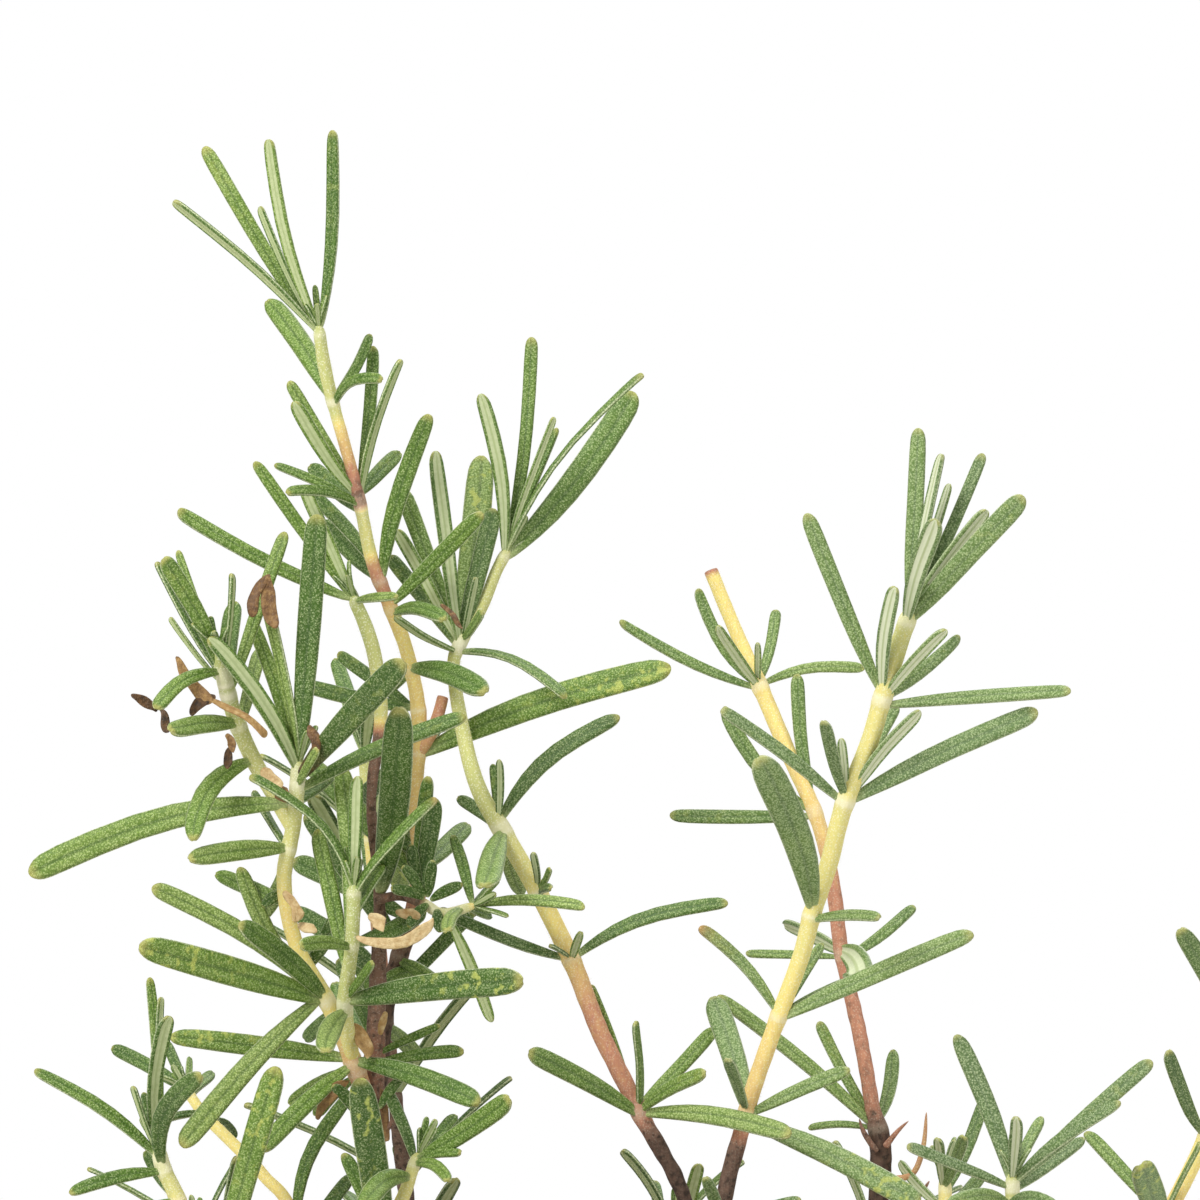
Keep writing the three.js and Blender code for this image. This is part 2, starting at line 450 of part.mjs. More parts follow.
// A closed skin over rings of points, with a point at each end.
function loft(rings, first, last) {
  const sides = rings[0].length;
  const points = [first, ...rings.flat(), last];
  const faces = [];
  const end = points.length - 1;
  for (let j = 0; j < sides; j++) {
    const k = (j + 1) % sides;
    faces.push(0, 1 + k, 1 + j);
    for (let i = 0; i + 1 < rings.length; i++) {
      const a = 1 + i * sides;
      const b = a + sides;
      faces.push(a + j, a + k, b + k, a + j, b + k, b + j);
    }
    faces.push(end, end - sides + j, end - sides + k);
  }
  const numbers = points.flatMap((p) => p.toArray());
  const geometry = new THREE.BufferGeometry();
  geometry.setAttribute("position", new THREE.Float32BufferAttribute(numbers, 3));
  geometry.setIndex(faces);
  return toSolid(geometry);
}

// A stem or branch through points, each with its radius.
function stemSolid(path) {
  const rings = path.map(({ at }, i) => {
    const before = path[Math.max(i - 1, 0)].at;
    const after = path[Math.min(i + 1, path.length - 1)].at;
    const along = after.clone().sub(before).normalize();
    const side = vec(1, 0, 0).addScaledVector(along, -along.x).normalize();
    const front = along.clone().cross(side);
    return Array.from({ length: STEM_SIDES }, (_, j) => {
      const turn = (2 * Math.PI * j) / STEM_SIDES;
      const out = side.clone().multiplyScalar(Math.cos(turn)).addScaledVector(front, Math.sin(turn));
      return at.clone().addScaledVector(out, path[i].radius);
    });
  });
  return loft(rings, path[0].at, path[path.length - 1].at);
}

// Where a stem stands at a height: the last stretch that holds it wins, so tips are found first.
function onStem(path, height) {
  for (let i = path.length - 2; i >= 0; i--) {
    const low = path[i].height;
    const high = path[i + 1].height;
    if ((height - low) * (height - high) <= 0 && low !== high) {
      const share = (height - low) / (high - low);
      return path[i].front.clone().lerp(path[i + 1].front, share);
    }
  }
  return path[path.length - 1].front.clone();
}

// A blade of the front view, from its row.
function seenBlade(path, [height, tipX, tipZ, lean, width, bow, face]) {
  const root = onStem(path, height);
  const base = seen(root.x, root.z, root.y);
  const flat = Math.hypot(tipX - root.x, tipZ - root.z);
  const hidden = HIDDEN_SHARE * Math.sqrt(Math.max((TRUE_LENGTH * width) ** 2 - flat ** 2, 0));
  const tip = seen(tipX, tipZ, root.y + Math.max(Math.abs(lean), hidden) * (lean < 0 ? -1 : 1));
  const dx = tip.x - base.x;
  const dz = tip.z - base.z;
  const up = (dx < 0 ? vec(dz, 0, -dx) : vec(-dz, 0, dx)).normalize();
  const turn = THREE.MathUtils.degToRad(face);
  const upper = vec(0, -Math.cos(turn), 0).addScaledVector(up, Math.sin(turn));
  return { base, tip, up, bow, width, upper, sway: vec(0, 1, 0) };
}

const bladePoint = (blade, t) =>
  blade.base.clone().lerp(blade.tip, t).addScaledVector(blade.up, blade.bow * 4 * t * (1 - t));

// How wide a blade is at a point of its length, as a share of its full width.
function swell(t) {
  const foot = BLADE_ROOT + (1 - BLADE_ROOT) * Math.sin((Math.PI / 2) * Math.min(t / WIDEST_FROM, 1));
  const end = Math.sqrt(1 - Math.min(Math.max((t - TIP_FROM) / (1 - TIP_FROM), 0), 1) ** 2);
  return foot * end;
}

function samples(blade) {
  return Array.from({ length: SAMPLES }, (_, i) => {
    const t = (i + 1) / SAMPLES;
    return { at: bladePoint(blade, t), radius: SHARE * blade.width * Math.max(swell(t), LEAST_SWELL) };
  });
}

const placed = [];

// The room between a swung blade and all that other shoots hold, and its own shoot's other blades.
function room(points, node) {
  let least = Infinity;
  for (const other of placed) {
    const own = other.node === node;
    if (own && other.isStem) continue;
    const from = own ? FREE_FROM : 0;
    for (let i = from; i < points.length; i++) {
      for (let j = own ? FREE_FROM : 0; j < other.points.length; j++) {
        const apart = points[i].at.distanceTo(other.points[j].at);
        const gap = apart - points[i].radius - other.points[j].radius;
        if (gap < least) least = gap;
      }
    }
  }
  return least;
}

// Swings a blade aside until it is clear, or as clear as it can be.
function settle(blade, node) {
  let best = null;
  for (const step of SWINGS) {
    const swung = { ...blade, tip: blade.tip.clone().addScaledVector(blade.sway, step * SWING) };
    const points = samples(swung);
    const free = room(points, node);
    if (best === null || free > best.free) best = { blade: swung, points, free };
    if (free >= CLEAR) break;
  }
  placed.push({ node, isStem: false, points: best.points });
  return best.blade;
}

function bladeSolid(blade) {
  const plain = blade.width < SMALL_BLADE ? SMALL_RINGS : BLADE_RINGS;
  const outline = blade.width < BROAD_BLADE ? plain : BROAD_RINGS;
  const rings = outline.map(([t, share]) => {
    const at = bladePoint(blade, t);
    const along = bladePoint(blade, t + 0.01).sub(bladePoint(blade, t - 0.01)).normalize();
    const upper = blade.upper.clone().addScaledVector(along, -blade.upper.dot(along)).normalize();
    const side = upper.clone().cross(along);
    const half = (share * blade.width) / 2;
    const thick = Math.min(HALF_THICK + THICK_PER_WIDTH * blade.width, half);
    return [side, upper, side.clone().negate(), upper.clone().negate()].map((out, j) =>
      at.clone().addScaledVector(out, j % 2 ? thick : half),
    );
  });
  return loft(rings, bladePoint(blade, -0.01), bladePoint(blade, 1));
}

// A stem's path: its corners in the room, and in the front view as x, depth, z.
function seenPath(corners) {
  return corners.map(([x, z, depth, radius]) => ({
    at: seen(x, z, depth), front: vec(x, depth, z), height: z, radius,
  }));
}

function roundPath([angle, foot, reach, height]) {
  const turn = THREE.MathUtils.degToRad(angle);
  const bends = ROUND_BENDS.map(([share, rise]) => [
    foot + (reach - foot) * share, SOIL_TOP + (height - SOIL_TOP) * rise,
  ]);
  const corners = [[foot, STEM_END], [foot, SOIL_TOP + ROUND_STRAIGHT], ...bends, [reach, height]];
  return corners.map(([far, z], i) => {
    const at = vec(far * Math.cos(turn), far * Math.sin(turn), z);
    const radius = ROUND_RADIUS[0] + ((ROUND_RADIUS[1] - ROUND_RADIUS[0]) * i) / (corners.length - 1);
    return { at, front: at.clone(), height: z, radius };
  });
}

// Pairs of blades, each pair a quarter turn on from the one below it.
function roundBlades(path, [, , , height, pairs]) {
  const blades = [];
  const low = SOIL_TOP + (height - SOIL_TOP) * ROUND_FIRST_PAIR;
  for (let i = 0; i < pairs; i++) {
    const level = low + ((height - 1 - low) * i) / (pairs - 1);
    const base = onStem(path, level);
    const axis = onStem(path, level + 1).sub(onStem(path, level - 3)).normalize();
    const start = Math.PI * (i / 2 + ROUND_TURN * draw());
    for (const turn of [start, start + Math.PI]) {
      const across = vec(1, 0, 0).addScaledVector(axis, -axis.x).normalize();
      const away = axis.clone().cross(across);
      const out = across.multiplyScalar(Math.cos(turn)).addScaledVector(away, Math.sin(turn));
      const flare = ROUND_LOW_SPREAD * (1 - i / (pairs - 1));
      const spread = ROUND_SPREAD[0] + ROUND_SPREAD[1] * draw() + flare;
      const share = i === pairs - 1 ? ROUND_TOP_SHARE : 1;
      const long = share * (ROUND_BLADE[0] + ROUND_BLADE[1] * draw());
      const tip = base.clone().addScaledVector(axis, long * Math.cos(spread));
      tip.addScaledVector(out, long * Math.sin(spread));
      const up = axis.clone();
      const upper = axis.clone().addScaledVector(out, -ROUND_LIFT).normalize();
      const sway = axis.clone().cross(out).normalize();
      const width = ROUND_WIDTH[0] + ROUND_WIDTH[1] * draw();
      blades.push({ base, tip, up, bow: ROUND_BOW, width, upper, sway });
    }
  }
  return blades;
}

// Every shoot as its stem paths and its unsettled blades.
const shoots = [
  ...Object.entries(SHOOTS).map(([node, parts]) => {
    const paths = parts.map((part) => seenPath(part.stem ?? part.side));
    const blades = parts.flatMap((part, i) => part.blades.map((row) => seenBlade(paths[i], row)));
    return { node, paths, blades };
  }),
  ...Object.entries(ROUND_SHOOTS).map(([node, rule]) => {
    const path = roundPath(rule);
    return { node, paths: [path], blades: roundBlades(path, rule) };
  }),
];

// All stems take their place first, then the blades, shoot by shoot.
for (const { node, paths } of shoots) {
  for (const path of paths) {
    for (let i = 0; i + 1 < path.length; i++) {
      const steps = Math.ceil(path[i].at.distanceTo(path[i + 1].at) / STEM_STEP);
      const points = Array.from({ length: steps }, (_, j) => ({
        at: path[i].at.clone().lerp(path[i + 1].at, j / steps), radius: path[i].radius,
      }));
      placed.push({ node, isStem: true, points });
    }
  }
}

const plant = new THREE.Group();
plant.name = "potted_rosemary";

for (const shoot of shoots) {
  const solids = shoot.paths.map(stemSolid);
  for (const blade of shoot.blades) solids.push(bladeSolid(settle(blade, shoot.node)));
  plant.add(toMesh(shoot.node, wholeBody(wasm.Manifold.union(solids)), LEAF_COLOUR, 0.75));
}

// The pot is turned round its axis, and its drain holes are cut through the floor.
function potRadius(z) {
  return POT_BASE_RADIUS + ((POT_TOP_RADIUS - RIM_STEP - POT_BASE_RADIUS) * z) / POT_HEIGHT;
}

function turned(outline) {
  const profile = outline.map(([r, z]) => new THREE.Vector2(r, z));
  return toSolid(new THREE.LatheGeometry(profile, ROUND_SIDES).rotateX(Math.PI / 2));
}

function drum(radius, low, high, x, y, sides) {
  const geometry = new THREE.CylinderGeometry(radius, radius, high - low, sides).rotateX(Math.PI / 2);
  return toSolid(geometry.translate(x, y, (low + high) / 2));
}

const rimLow = POT_HEIGHT - RIM_HEIGHT;
const rimInside = POT_TOP_RADIUS - RIM_WIDTH;
const potOutline = [
  [0, 0],
  [POT_BASE_RADIUS - EDGE_ROUND, 0],
  [POT_BASE_RADIUS, EDGE_ROUND],
  [potRadius(rimLow - EDGE_ROUND), rimLow - EDGE_ROUND],
  [potRadius(rimLow) + RIM_STEP, rimLow],
  [POT_TOP_RADIUS, POT_HEIGHT - 3 * EDGE_ROUND],
  [POT_TOP_RADIUS + RIM_BEAD, POT_HEIGHT - EDGE_ROUND],
  [POT_TOP_RADIUS - EDGE_ROUND, POT_HEIGHT],
  [rimInside, POT_HEIGHT],
  [rimInside - EDGE_ROUND, POT_HEIGHT - EDGE_ROUND],
  [potRadius(rimLow) - POT_WALL, rimLow - RIM_STEP],
  [potRadius(POT_FLOOR) - POT_WALL, POT_FLOOR],
  [0, POT_FLOOR],
];
let pot = turned(potOutline);
for (let i = 0; i < DRAIN_HOLES; i++) {
  const turn = (2 * Math.PI * (i + 0.5)) / DRAIN_HOLES;
  const x = DRAIN_RING * Math.cos(turn);
  const y = DRAIN_RING * Math.sin(turn);
  pot = pot.subtract(drum(DRAIN_RADIUS, -1, POT_FLOOR + 1, x, y, DRAIN_SIDES));
}
plant.add(toMesh("pot", pot, POT_COLOUR, 0.6));

const soilFloor = POT_FLOOR + SOIL_GAP;
const soilRadius = (z) => potRadius(z) - POT_WALL - SOIL_GAP;
let soil = turned([
  [0, soilFloor],
  [soilRadius(soilFloor), soilFloor],
  [soilRadius(SOIL_TOP - SOIL_SHOULDER), SOIL_TOP - SOIL_SHOULDER],
  [soilRadius(SOIL_TOP) - SOIL_EDGE, SOIL_TOP - 1],
  [soilRadius(SOIL_TOP) / 2, SOIL_TOP + SOIL_MOUND],
  [0, SOIL_TOP + SOIL_MOUND],
]);
for (const { paths } of shoots) {
  const foot = paths[0][0];
  const hole = foot.radius + HOLE_GAP;
  const { x, y } = foot.at;
  soil = soil.subtract(drum(hole, SOIL_TOP - HOLE_DEPTH, SOIL_TOP + 2 * SOIL_MOUND, x, y, HOLE_SIDES));
}
plant.add(toMesh("soil", soil, SOIL_COLOUR, 0.95));

export default plant;
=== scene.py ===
"""A potted rosemary plant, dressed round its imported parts. Metres, +Z up, front -Y."""
import math

import bmesh
import bpy
import numpy as np
from mathutils import Matrix, Vector, noise


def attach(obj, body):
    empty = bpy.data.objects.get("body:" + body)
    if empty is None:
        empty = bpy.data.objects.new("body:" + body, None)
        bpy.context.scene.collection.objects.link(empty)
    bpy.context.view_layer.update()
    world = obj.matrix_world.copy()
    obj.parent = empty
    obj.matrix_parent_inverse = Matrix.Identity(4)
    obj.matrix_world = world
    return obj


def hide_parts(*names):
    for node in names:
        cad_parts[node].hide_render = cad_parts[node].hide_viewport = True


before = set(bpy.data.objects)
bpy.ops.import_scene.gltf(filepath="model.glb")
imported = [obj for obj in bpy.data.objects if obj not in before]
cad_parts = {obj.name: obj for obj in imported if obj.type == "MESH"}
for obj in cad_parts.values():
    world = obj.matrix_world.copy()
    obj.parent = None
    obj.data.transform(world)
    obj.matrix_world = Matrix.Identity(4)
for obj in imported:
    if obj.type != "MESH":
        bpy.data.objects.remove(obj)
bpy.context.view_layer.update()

# Lengths are millimetres until a mesh is written.
MM = 0.001

# The pot and its soil, as in the part's source.
POT_HEIGHT = 88
POT_TOP_RADIUS = 54
POT_BASE_RADIUS = 39
POT_WALL = 2.4
POT_FLOOR = 3
RIM_HEIGHT = 11
RIM_STEP = 2.2
DRAIN_HOLES = 4
DRAIN_RADIUS = 4
DRAIN_RING = 24
SOIL_TOP = 78
SOIL_GAP = 0.4
SOIL_MOUND = 2.5
STEM_END = 58
POT_STEPS = 128
SOIL_STEPS = 96
SOIL_RINGS = 26
SOIL_LUMP = 1.5
SOIL_LUMP_SCALE = 0.12
# How much smoother each finer set of lumps is, how much finer, and how many sets.
SOIL_FRACTAL = (0.6, 2.2, 5)
SOIL_SINK = 1
SOIL_SHOULDER = 6

# Blades, as in the part's source.
BLADE_ROOT = 0.34
WIDEST_FROM = 0.45
TIP_FROM = 0.8
HALF_THICK = 0.3
THICK_PER_WIDTH = 0.09

# Front view: the tables give each point where it stands in a view from straight in front,
# from this height and this far away.
EYE_HEIGHT = 215
EYE_DISTANCE = 950
VIEW_WIDTH = 150

# Keeping clear: a blade that would cross another is swung aside in steps of this much at its tip.
# It is taken as a row of samples, each a ball whose radius is a share of the blade's width. From
# one of them on, it also keeps clear of its own shoot's blades.
SWING = 1.2
SWINGS = (0, 1, -1, 2, -2, 3, -3, 4, -4, 5, -5, 6, -6, 7, -7, 8, -8)
SAMPLES = 12
FREE_FROM = 5
SHARE = 0.42
LEAST_SWELL = 0.4
CLEAR = 0.45
STEM_STEP = 1.5

# A blade that looks shorter than this many of its widths points towards the eye or away from it,
# and its depth is this share of what it lacks.
TRUE_LENGTH = 7.5
HIDDEN_SHARE = 0.7

# Shoots seen from the front.
#   stem: (x, z, depth, radius) from just over the soil up. It goes straight down from there to
#     its end in the soil. Depth grows away from the eye.
#   side: the same for a branch that grows out of the stem before it.
#   blades: (height of the root on its stem, tip x, tip z, lean, width, bow, face)
#     lean: how much deeper the tip lies than the root
#     bow: how far the middle stands off the straight line, towards the upper side
#     face: 0 shows the upper side, 90 turns it upwards, 180 shows the underside
SHOOTS = {
    "tall_left_shoot": [
        {
            "stem": [
                [-19, 84, 10, 1.6], [-24, 118, 10, 1.5], [-27.8, 142, 10, 1.4],
                [-27.6, 156, 10, 1.3], [-26.4, 166, 9, 1.2], [-23.3, 176, 8, 1.2], [-22.4, 183, 8, 1.15],
                [-23.2, 190, 8, 1.1], [-22.6, 200, 7, 1], [-24, 208, 6, 0.95], [-26, 213.6, 5, 0.95],
                [-28.5, 220, 3.5, 0.9], [-30, 227, 2, 0.8], [-31.5, 233, 0.5, 0.8], [-33.2, 239, -1, 0.8],
                [-34.5, 244.5, -2, 0.9], [-35.2, 249.5, -3, 0.7],
            ],
            "blades": [
                [248.5, -33.5, 273.8, 1, 2.2, -0.9, 25], [248.5, -41.4, 272.6, -4, 2.1, -1.2, 155],
                [248.5, -42.6, 264.2, 1, 1.4, -0.5, 130], [248, -49.4, 271.8, 4, 2.2, -0.4, 10],
                [248.3, -53.4, 264.7, -2, 2.2, 0.8, 120], [240, -41.6, 252.5, 4, 3.3, 0.6, 5],
                [239.3, -27.2, 242.3, -4, 2, 1.9, 25], [240, -28.6, 248.2, 2, 1.7, -0.5, -20],
                [228, -38.2, 239.9, -3, 2.2, -0.6, 165], [228, -39.1, 242.4, 2, 2, 0, 10],
                [228, -28.3, 246.8, 3, 1.9, -0.4, 20], [227.5, -25, 245.2, -1, 2.1, 0.7, 125],
                [228, -25, 233.3, 4, 2.2, 0.2, 0], [227, -40.8, 231.9, 1, 1.6, 0.4, 30],
                [226.8, -39.3, 228.4, -3, 2, 1.2, 30], [226, -36.2, 231.7, 5, 2.5, 0, 0],
                [219.5, -36.6, 228.6, 1, 2.3, 0.6, 20], [217.5, -34.6, 224.6, 5, 2.8, 0, 0],
                [217, -21.2, 238.4, -6, 2.7, 1.1, 10], [217.5, -24.6, 229.2, 1, 1.8, 0.5, 60],
                [214.3, -14.8, 226, -7, 2.6, 0, 5], [213.3, -19.4, 212.6, -5, 2.6, 1.2, 20],
                [206.5, -14.3, 203.6, -6, 3.5, 0.9, 10], [206, -30.6, 201, 2, 2.8, 0.3, 0],
                [195.5, 9, 206.3, -9, 4.3, 1.5, 5], [201.5, -37.5, 204.5, 2, 2.4, -0.4, 10],
                [201, -32.8, 208.5, 4, 2, 0, 0], [189, -25.4, 178.7, 2, 3.5, 0, 5],
                [178, -21.5, 193, -4, 2.4, 0, 10], [165, -16, 176, 5, 2.2, 0, 10],
                [158, -33, 170, 5, 2.4, 0.5, 0], [183, -33, 190, 3, 3, 0.4, 5],
                [181, -16.5, 187, 4, 2.8, 0, 10], [175, -38.5, 182.5, 4, 3.2, 0.5, 5],
                [171, -36.5, 188.5, 6, 3.2, 0.3, 5], [170, -19, 165.6, -2, 2.6, 0.4, 10],
                [167, -38.5, 176.5, 3, 3.2, 0.5, 5], [196, -31, 189, 5, 2.8, 0.3, 5],
                [180, -36.8, 195, 3, 3.2, 0.4, 5], [163, -32, 172.5, 1, 3, 0.3, 5],
                [162, -22.6, 158, 2, 2.4, 0, 5],
            ],
        },
        {
            "side": [
                [-22.9, 195.5, 7.5, 0.9], [-20.8, 199, 6.5, 0.85], [-19.6, 203, 6, 0.75],
            ],
            "blades": [],
        },
    ],
    "middle_shoot": [
        {
            "stem": [
                [9, 84, 8, 1.5], [13, 110, 6, 1.4], [13.5, 125, 5, 1.2],
                [10.6, 140, 4, 1], [5.2, 150.5, 3, 1.15], [0, 161, 3, 1.2], [-3.4, 169.6, 3, 1.25],
                [-7.5, 178, 3, 1.2], [-12, 185.8, 3, 1.2], [-15, 191, 3, 1.1], [-16.8, 197, 4, 1],
                [-18.3, 206, 6, 0.85], [-17.5, 209.5, 7, 0.85], [-14.8, 214, 9, 0.8],
                [-13, 218.5, 11, 0.8], [-11.4, 221.5, 12, 0.75],
            ],
            "blades": [
                [220.5, -14.7, 240.9, -3, 2.4, 1, 165], [221, -8.4, 247.9, 3, 2, -0.7, 10],
                [221, -5.7, 237.8, -3, 1.3, 0.3, 150], [221, -5.2, 236.6, 1, 1.2, 0.2, 30],
                [220.5, 5.3, 243.2, -2, 2.2, 2.2, 80], [220, 4.2, 241, 2, 4, -1.2, 0],
                [209, -14.8, 233.2, 3, 4.2, -0.4, 0], [209.5, -13.2, 226.5, 6, 2.8, 0, 0],
                [209, -20.8, 233.6, -3, 2.5, 0, -150], [210, -15.3, 217.8, -2, 1.3, 0, 150],
                [210, -14.7, 213.6, -4, 1.6, 0, 20], [208.5, -4.4, 202.6, -3, 2.3, 2.2, 60],
                [208.5, -25.6, 213, -2, 1.8, -0.4, 110], [209.5, -24.8, 228.8, 6, 2.4, 0, 0],
                [209.5, -25.2, 223.8, 3, 2.2, 0, 150], [209, -26.4, 220.5, 0, 2.2, 0.3, 15],
                [187, 2.6, 200.3, -1, 2.6, 2.3, 15], [187, -12.5, 195, -3, 1.3, 0, 180],
                [187, -13.4, 194.6, 1, 1.3, 0, 10], [186, -17.6, 190.1, 4, 2, 0.4, 0],
                [186, -14.2, 179, -5, 3.8, 0.3, 0], [185.5, -9.9, 178, 4, 2.4, -0.3, 0],
                [178.5, -8.4, 183.5, -3, 1.1, 0.2, 150], [178.5, -6.2, 181.3, -1, 1.1, 0, 30],
                [178, -6, 178.9, -3, 1.4, 0.6, 20], [170, -20.3, 176.5, -2, 2, -0.5, 35],
                [170, 16.3, 177, -2, 2.2, 2.2, 20], [170, -2.4, 173.3, -3, 1.3, 0, 180],
                [170, -6.3, 172, -2, 1, 0.3, 120], [152, -1, 166.9, 3, 1.3, 0, 10],
                [150.5, -8.9, 158.6, -2, 3, 0.4, 15], [151, 4.5, 162.4, -3, 2, 0.3, 60],
                [151.5, 14.2, 161.4, 1, 2.3, -0.3, 15], [151, 13.1, 155.8, -2, 2.3, 0.7, 20],
                [150.8, 23.8, 148.2, -15, 3, 1.2, 15],
            ],
        },
    ],
    "right_shoot": [
        {
            "stem": [
                [15, 84, -6, 1.6], [15.5, 115, -4, 1.4], [15, 136, -3, 1.1],
                [18.2, 150.6, -3, 1.1], [21.8, 161.5, -4, 1.1], [25, 170, -6, 1.15], [26.6, 176, -7, 1.2],
                [28.6, 182, -8, 1.2], [30.4, 189, -9, 1.2], [33.6, 197, -11, 1.2], [35.4, 203, -12, 1.2],
                [37.4, 209.5, -14, 1.2], [39, 214, -15, 1],
            ],
            "blades": [
                [213, 39.9, 236.6, 2, 2.6, 0, 15], [213, 42.7, 233.3, 0, 2.2, 0.3, -125],
                [213, 44, 229.6, -1, 1.4, 0, -150], [213, 48, 233.4, 3, 1.9, -0.3, 10],
                [212, 52.9, 228.1, -2, 3.2, 0, 5], [212.5, 48.7, 226.2, -5, 2.5, 0.6, 140],
                [212, 42.2, 225.2, -6, 3, 0.5, -160], [203, 37, 216.7, -4, 2.5, 0.7, -150],
                [203, 25.9, 225.9, -1, 2.5, -0.3, 10], [202.5, 43.3, 211.3, -4, 2.1, 0.3, 160],
                [202.5, 45, 210.5, 0, 2, -0.4, 20], [201.8, 58.9, 203.6, -2, 2.3, 0.2, 25],
                [189.5, 15.3, 201.5, -3, 2.2, 0.3, 35], [190, 28, 199.9, -1, 2.1, -0.2, -20],
                [190, 30.3, 197.8, -4, 1.4, 0, 180], [190, 39.9, 201.2, -3, 2.2, 0.4, 145],
                [190.5, 36.9, 202, 2, 2, 0, 20], [189.5, 54.9, 201.1, -3, 3.1, 0.6, 10],
                [175, 35, 175.2, -5, 2.1, 0.5, 40], [176, 19.8, 195.2, -3, 4.6, 1.4, 5],
                [163, 12.4, 174, -2, 2, 1.2, 35], [162.5, 46.4, 173.2, -5, 2.9, 0.4, 10],
                [163, 31, 167.6, 1, 1.5, 0.3, 60], [163, 27.8, 172, 4, 1.6, 0, 0],
                [151, 14, 165.6, 1, 3.7, 0.5, 0], [151, 15.8, 157.7, -4, 1.9, 0.2, -30],
                [150.5, 31.2, 156.3, -3, 2.1, 0.3, 15], [150, 40, 139.4, -4, 3.5, 0.8, 10],
                [136, 13.3, 142.8, -3, 1.8, 0.4, 0], [134, 25.2, 140, -4, 2, 1.6, 10],
            ],
        },
    ],
    "cut_shoot": [
        {
            "stem": [
                [26, 84, 12, 1.7], [32, 115, 14, 1.5], [34.8, 140, 15, 1.4],
                [35, 147, 15, 1.5], [34, 152, 15, 1], [32.6, 160, 16, 1], [30.2, 171, 18, 1],
                [29.2, 179, 19, 1], [27.2, 187.5, 20, 1], [23.5, 196, 22, 1.1], [20, 204.2, 24, 1.1],
                [16.8, 211.5, 26, 0.95], [13.8, 218.8, 27, 0.95],
            ],
            "blades": [
                [203.8, 2.4, 212.4, 0, 1.8, -0.9, 25], [204, 12.2, 216.4, 1, 1.9, -1.4, 10],
                [204, 14.6, 211.7, -2, 1.9, -0.3, 170], [204.3, 33, 206.4, 0, 1.8, 1.3, 20],
                [204.5, 21.9, 213.9, 1, 1.7, -0.4, 10], [204.5, 19.7, 209.8, -2, 1.2, 0, 160],
                [188, 8.8, 188.1, 1, 2.2, -0.2, 15], [188.5, 15.3, 201.6, 2, 2.3, -1.7, 10],
                [189, 24.5, 205.9, 2, 2.2, -0.4, 10], [170.3, 18.2, 170.7, 2, 1.4, 0.2, 20],
                [171, 23.2, 174.4, 0, 3, 0.3, 160], [171.2, 31.8, 166.6, -7, 4.8, 1.5, 170],
                [170, 39.4, 176.7, 1, 1.8, -0.4, 10], [149.5, 36.4, 158.8, 1, 2.2, -0.9, 20],
                [148.8, 25.9, 148.7, 2, 1.2, 0.8, 30], [149, 27.2, 162.4, 3, 1.8, -0.3, 15],
                [148.8, 14.6, 165.4, -1, 2.5, 0.8, 30],
            ],
        },
    ],
    "front_left_shoot": [
        {
            "stem": [
                [-13, 84, -1, 2], [-24, 118, 0, 1.8], [-28.6, 142, 1, 1.6],
                [-28.4, 152, 1, 1.5], [-27.8, 166, 2, 1.2], [-27.6, 178, 2, 0.75], [-28.6, 190, 1, 0.65],
                [-27.4, 200, 0, 0.9], [-28, 207, 0, 0.95], [-29.2, 211.5, 0, 0.95], [-31, 215.6, 0, 0.8],
            ],
            "blades": [
                [214.8, -43.3, 232.2, 0, 2, 0, 15], [214.8, -37.3, 229.5, -3, 2, 0, 170],
                [215, -52.9, 226.3, -1, 2.5, -0.8, 20], [214.8, -25.3, 215.2, -3, 1.7, 0.4, 30],
                [211, -32.5, 219, 1, 1.6, 0.3, 150], [178, -25.2, 201.6, -4, 4.8, -0.8, 5],
                [166, -23.6, 168.8, 1, 2.4, 0.6, 10], [158, -20, 161.8, -3, 1.4, 0.2, 20],
                [157, -16.9, 158.7, -1, 2, 0.3, 20],
            ],
        },
        {
            "side": [
                [-28.4, 150, 1, 1.3], [-31, 157.6, -2, 1.2], [-34.2, 165, -5, 1.1], [-38, 172, -6, 1],
                [-39.5, 180, -7, 1], [-38.3, 187, -8, 1], [-37.6, 195, -8, 0.9],
            ],
            "blades": [
                [194, -35.3, 225.8, -2, 3.4, 0, 10], [194.5, -42.1, 216.3, -1, 2.4, 0.4, -50],
                [194.5, -43.7, 212.9, 1, 2.3, 0.3, 15], [193.5, -48.9, 210.3, -3, 3, 1.2, 30],
                [191, -17, 200.2, -5, 2.7, 1, 30], [189.5, -32.6, 194, 1, 2.2, 0, 10],
                [191.5, -35.5, 196.4, -3, 1.4, 0, 20], [189.5, -71.4, 180.6, 0, 4, 2.7, 10],
                [192.5, -24.6, 207.4, -6, 3.8, 0.3, 5], [184, -51.4, 182.6, -4, 3, 0.4, 5],
                [183.5, -43.3, 191, 2, 1.8, 0, 60], [165, -44.8, 181.8, 2, 2.6, -2, 10],
                [164.5, -56.1, 179, 0, 2.7, 1.9, 10], [165, -45.2, 174.6, -4, 3.3, 0.8, 15],
                [164.8, -57.4, 171.6, -4, 4.3, 0.4, 5], [165.6, -52.3, 146.4, -8, 3.2, 1, 10],
                [157.6, -53.8, 160.3, -1, 3, 0.3, 5], [157, -42.4, 145.9, -6, 2.9, 0.6, 10],
                [156.5, -38.8, 152, 0, 2, 0.5, 10], [157.4, -14.8, 152.2, -6, 3.3, 0.8, 5],
                [155.5, -35.4, 150.3, 0, 1.9, 0.6, 10], [184, -43.2, 174.5, 3, 2.6, -1, 10],
                [177, -47.8, 180.6, 3, 2.4, 0, 5],
            ],
        },
        {
            "side": [
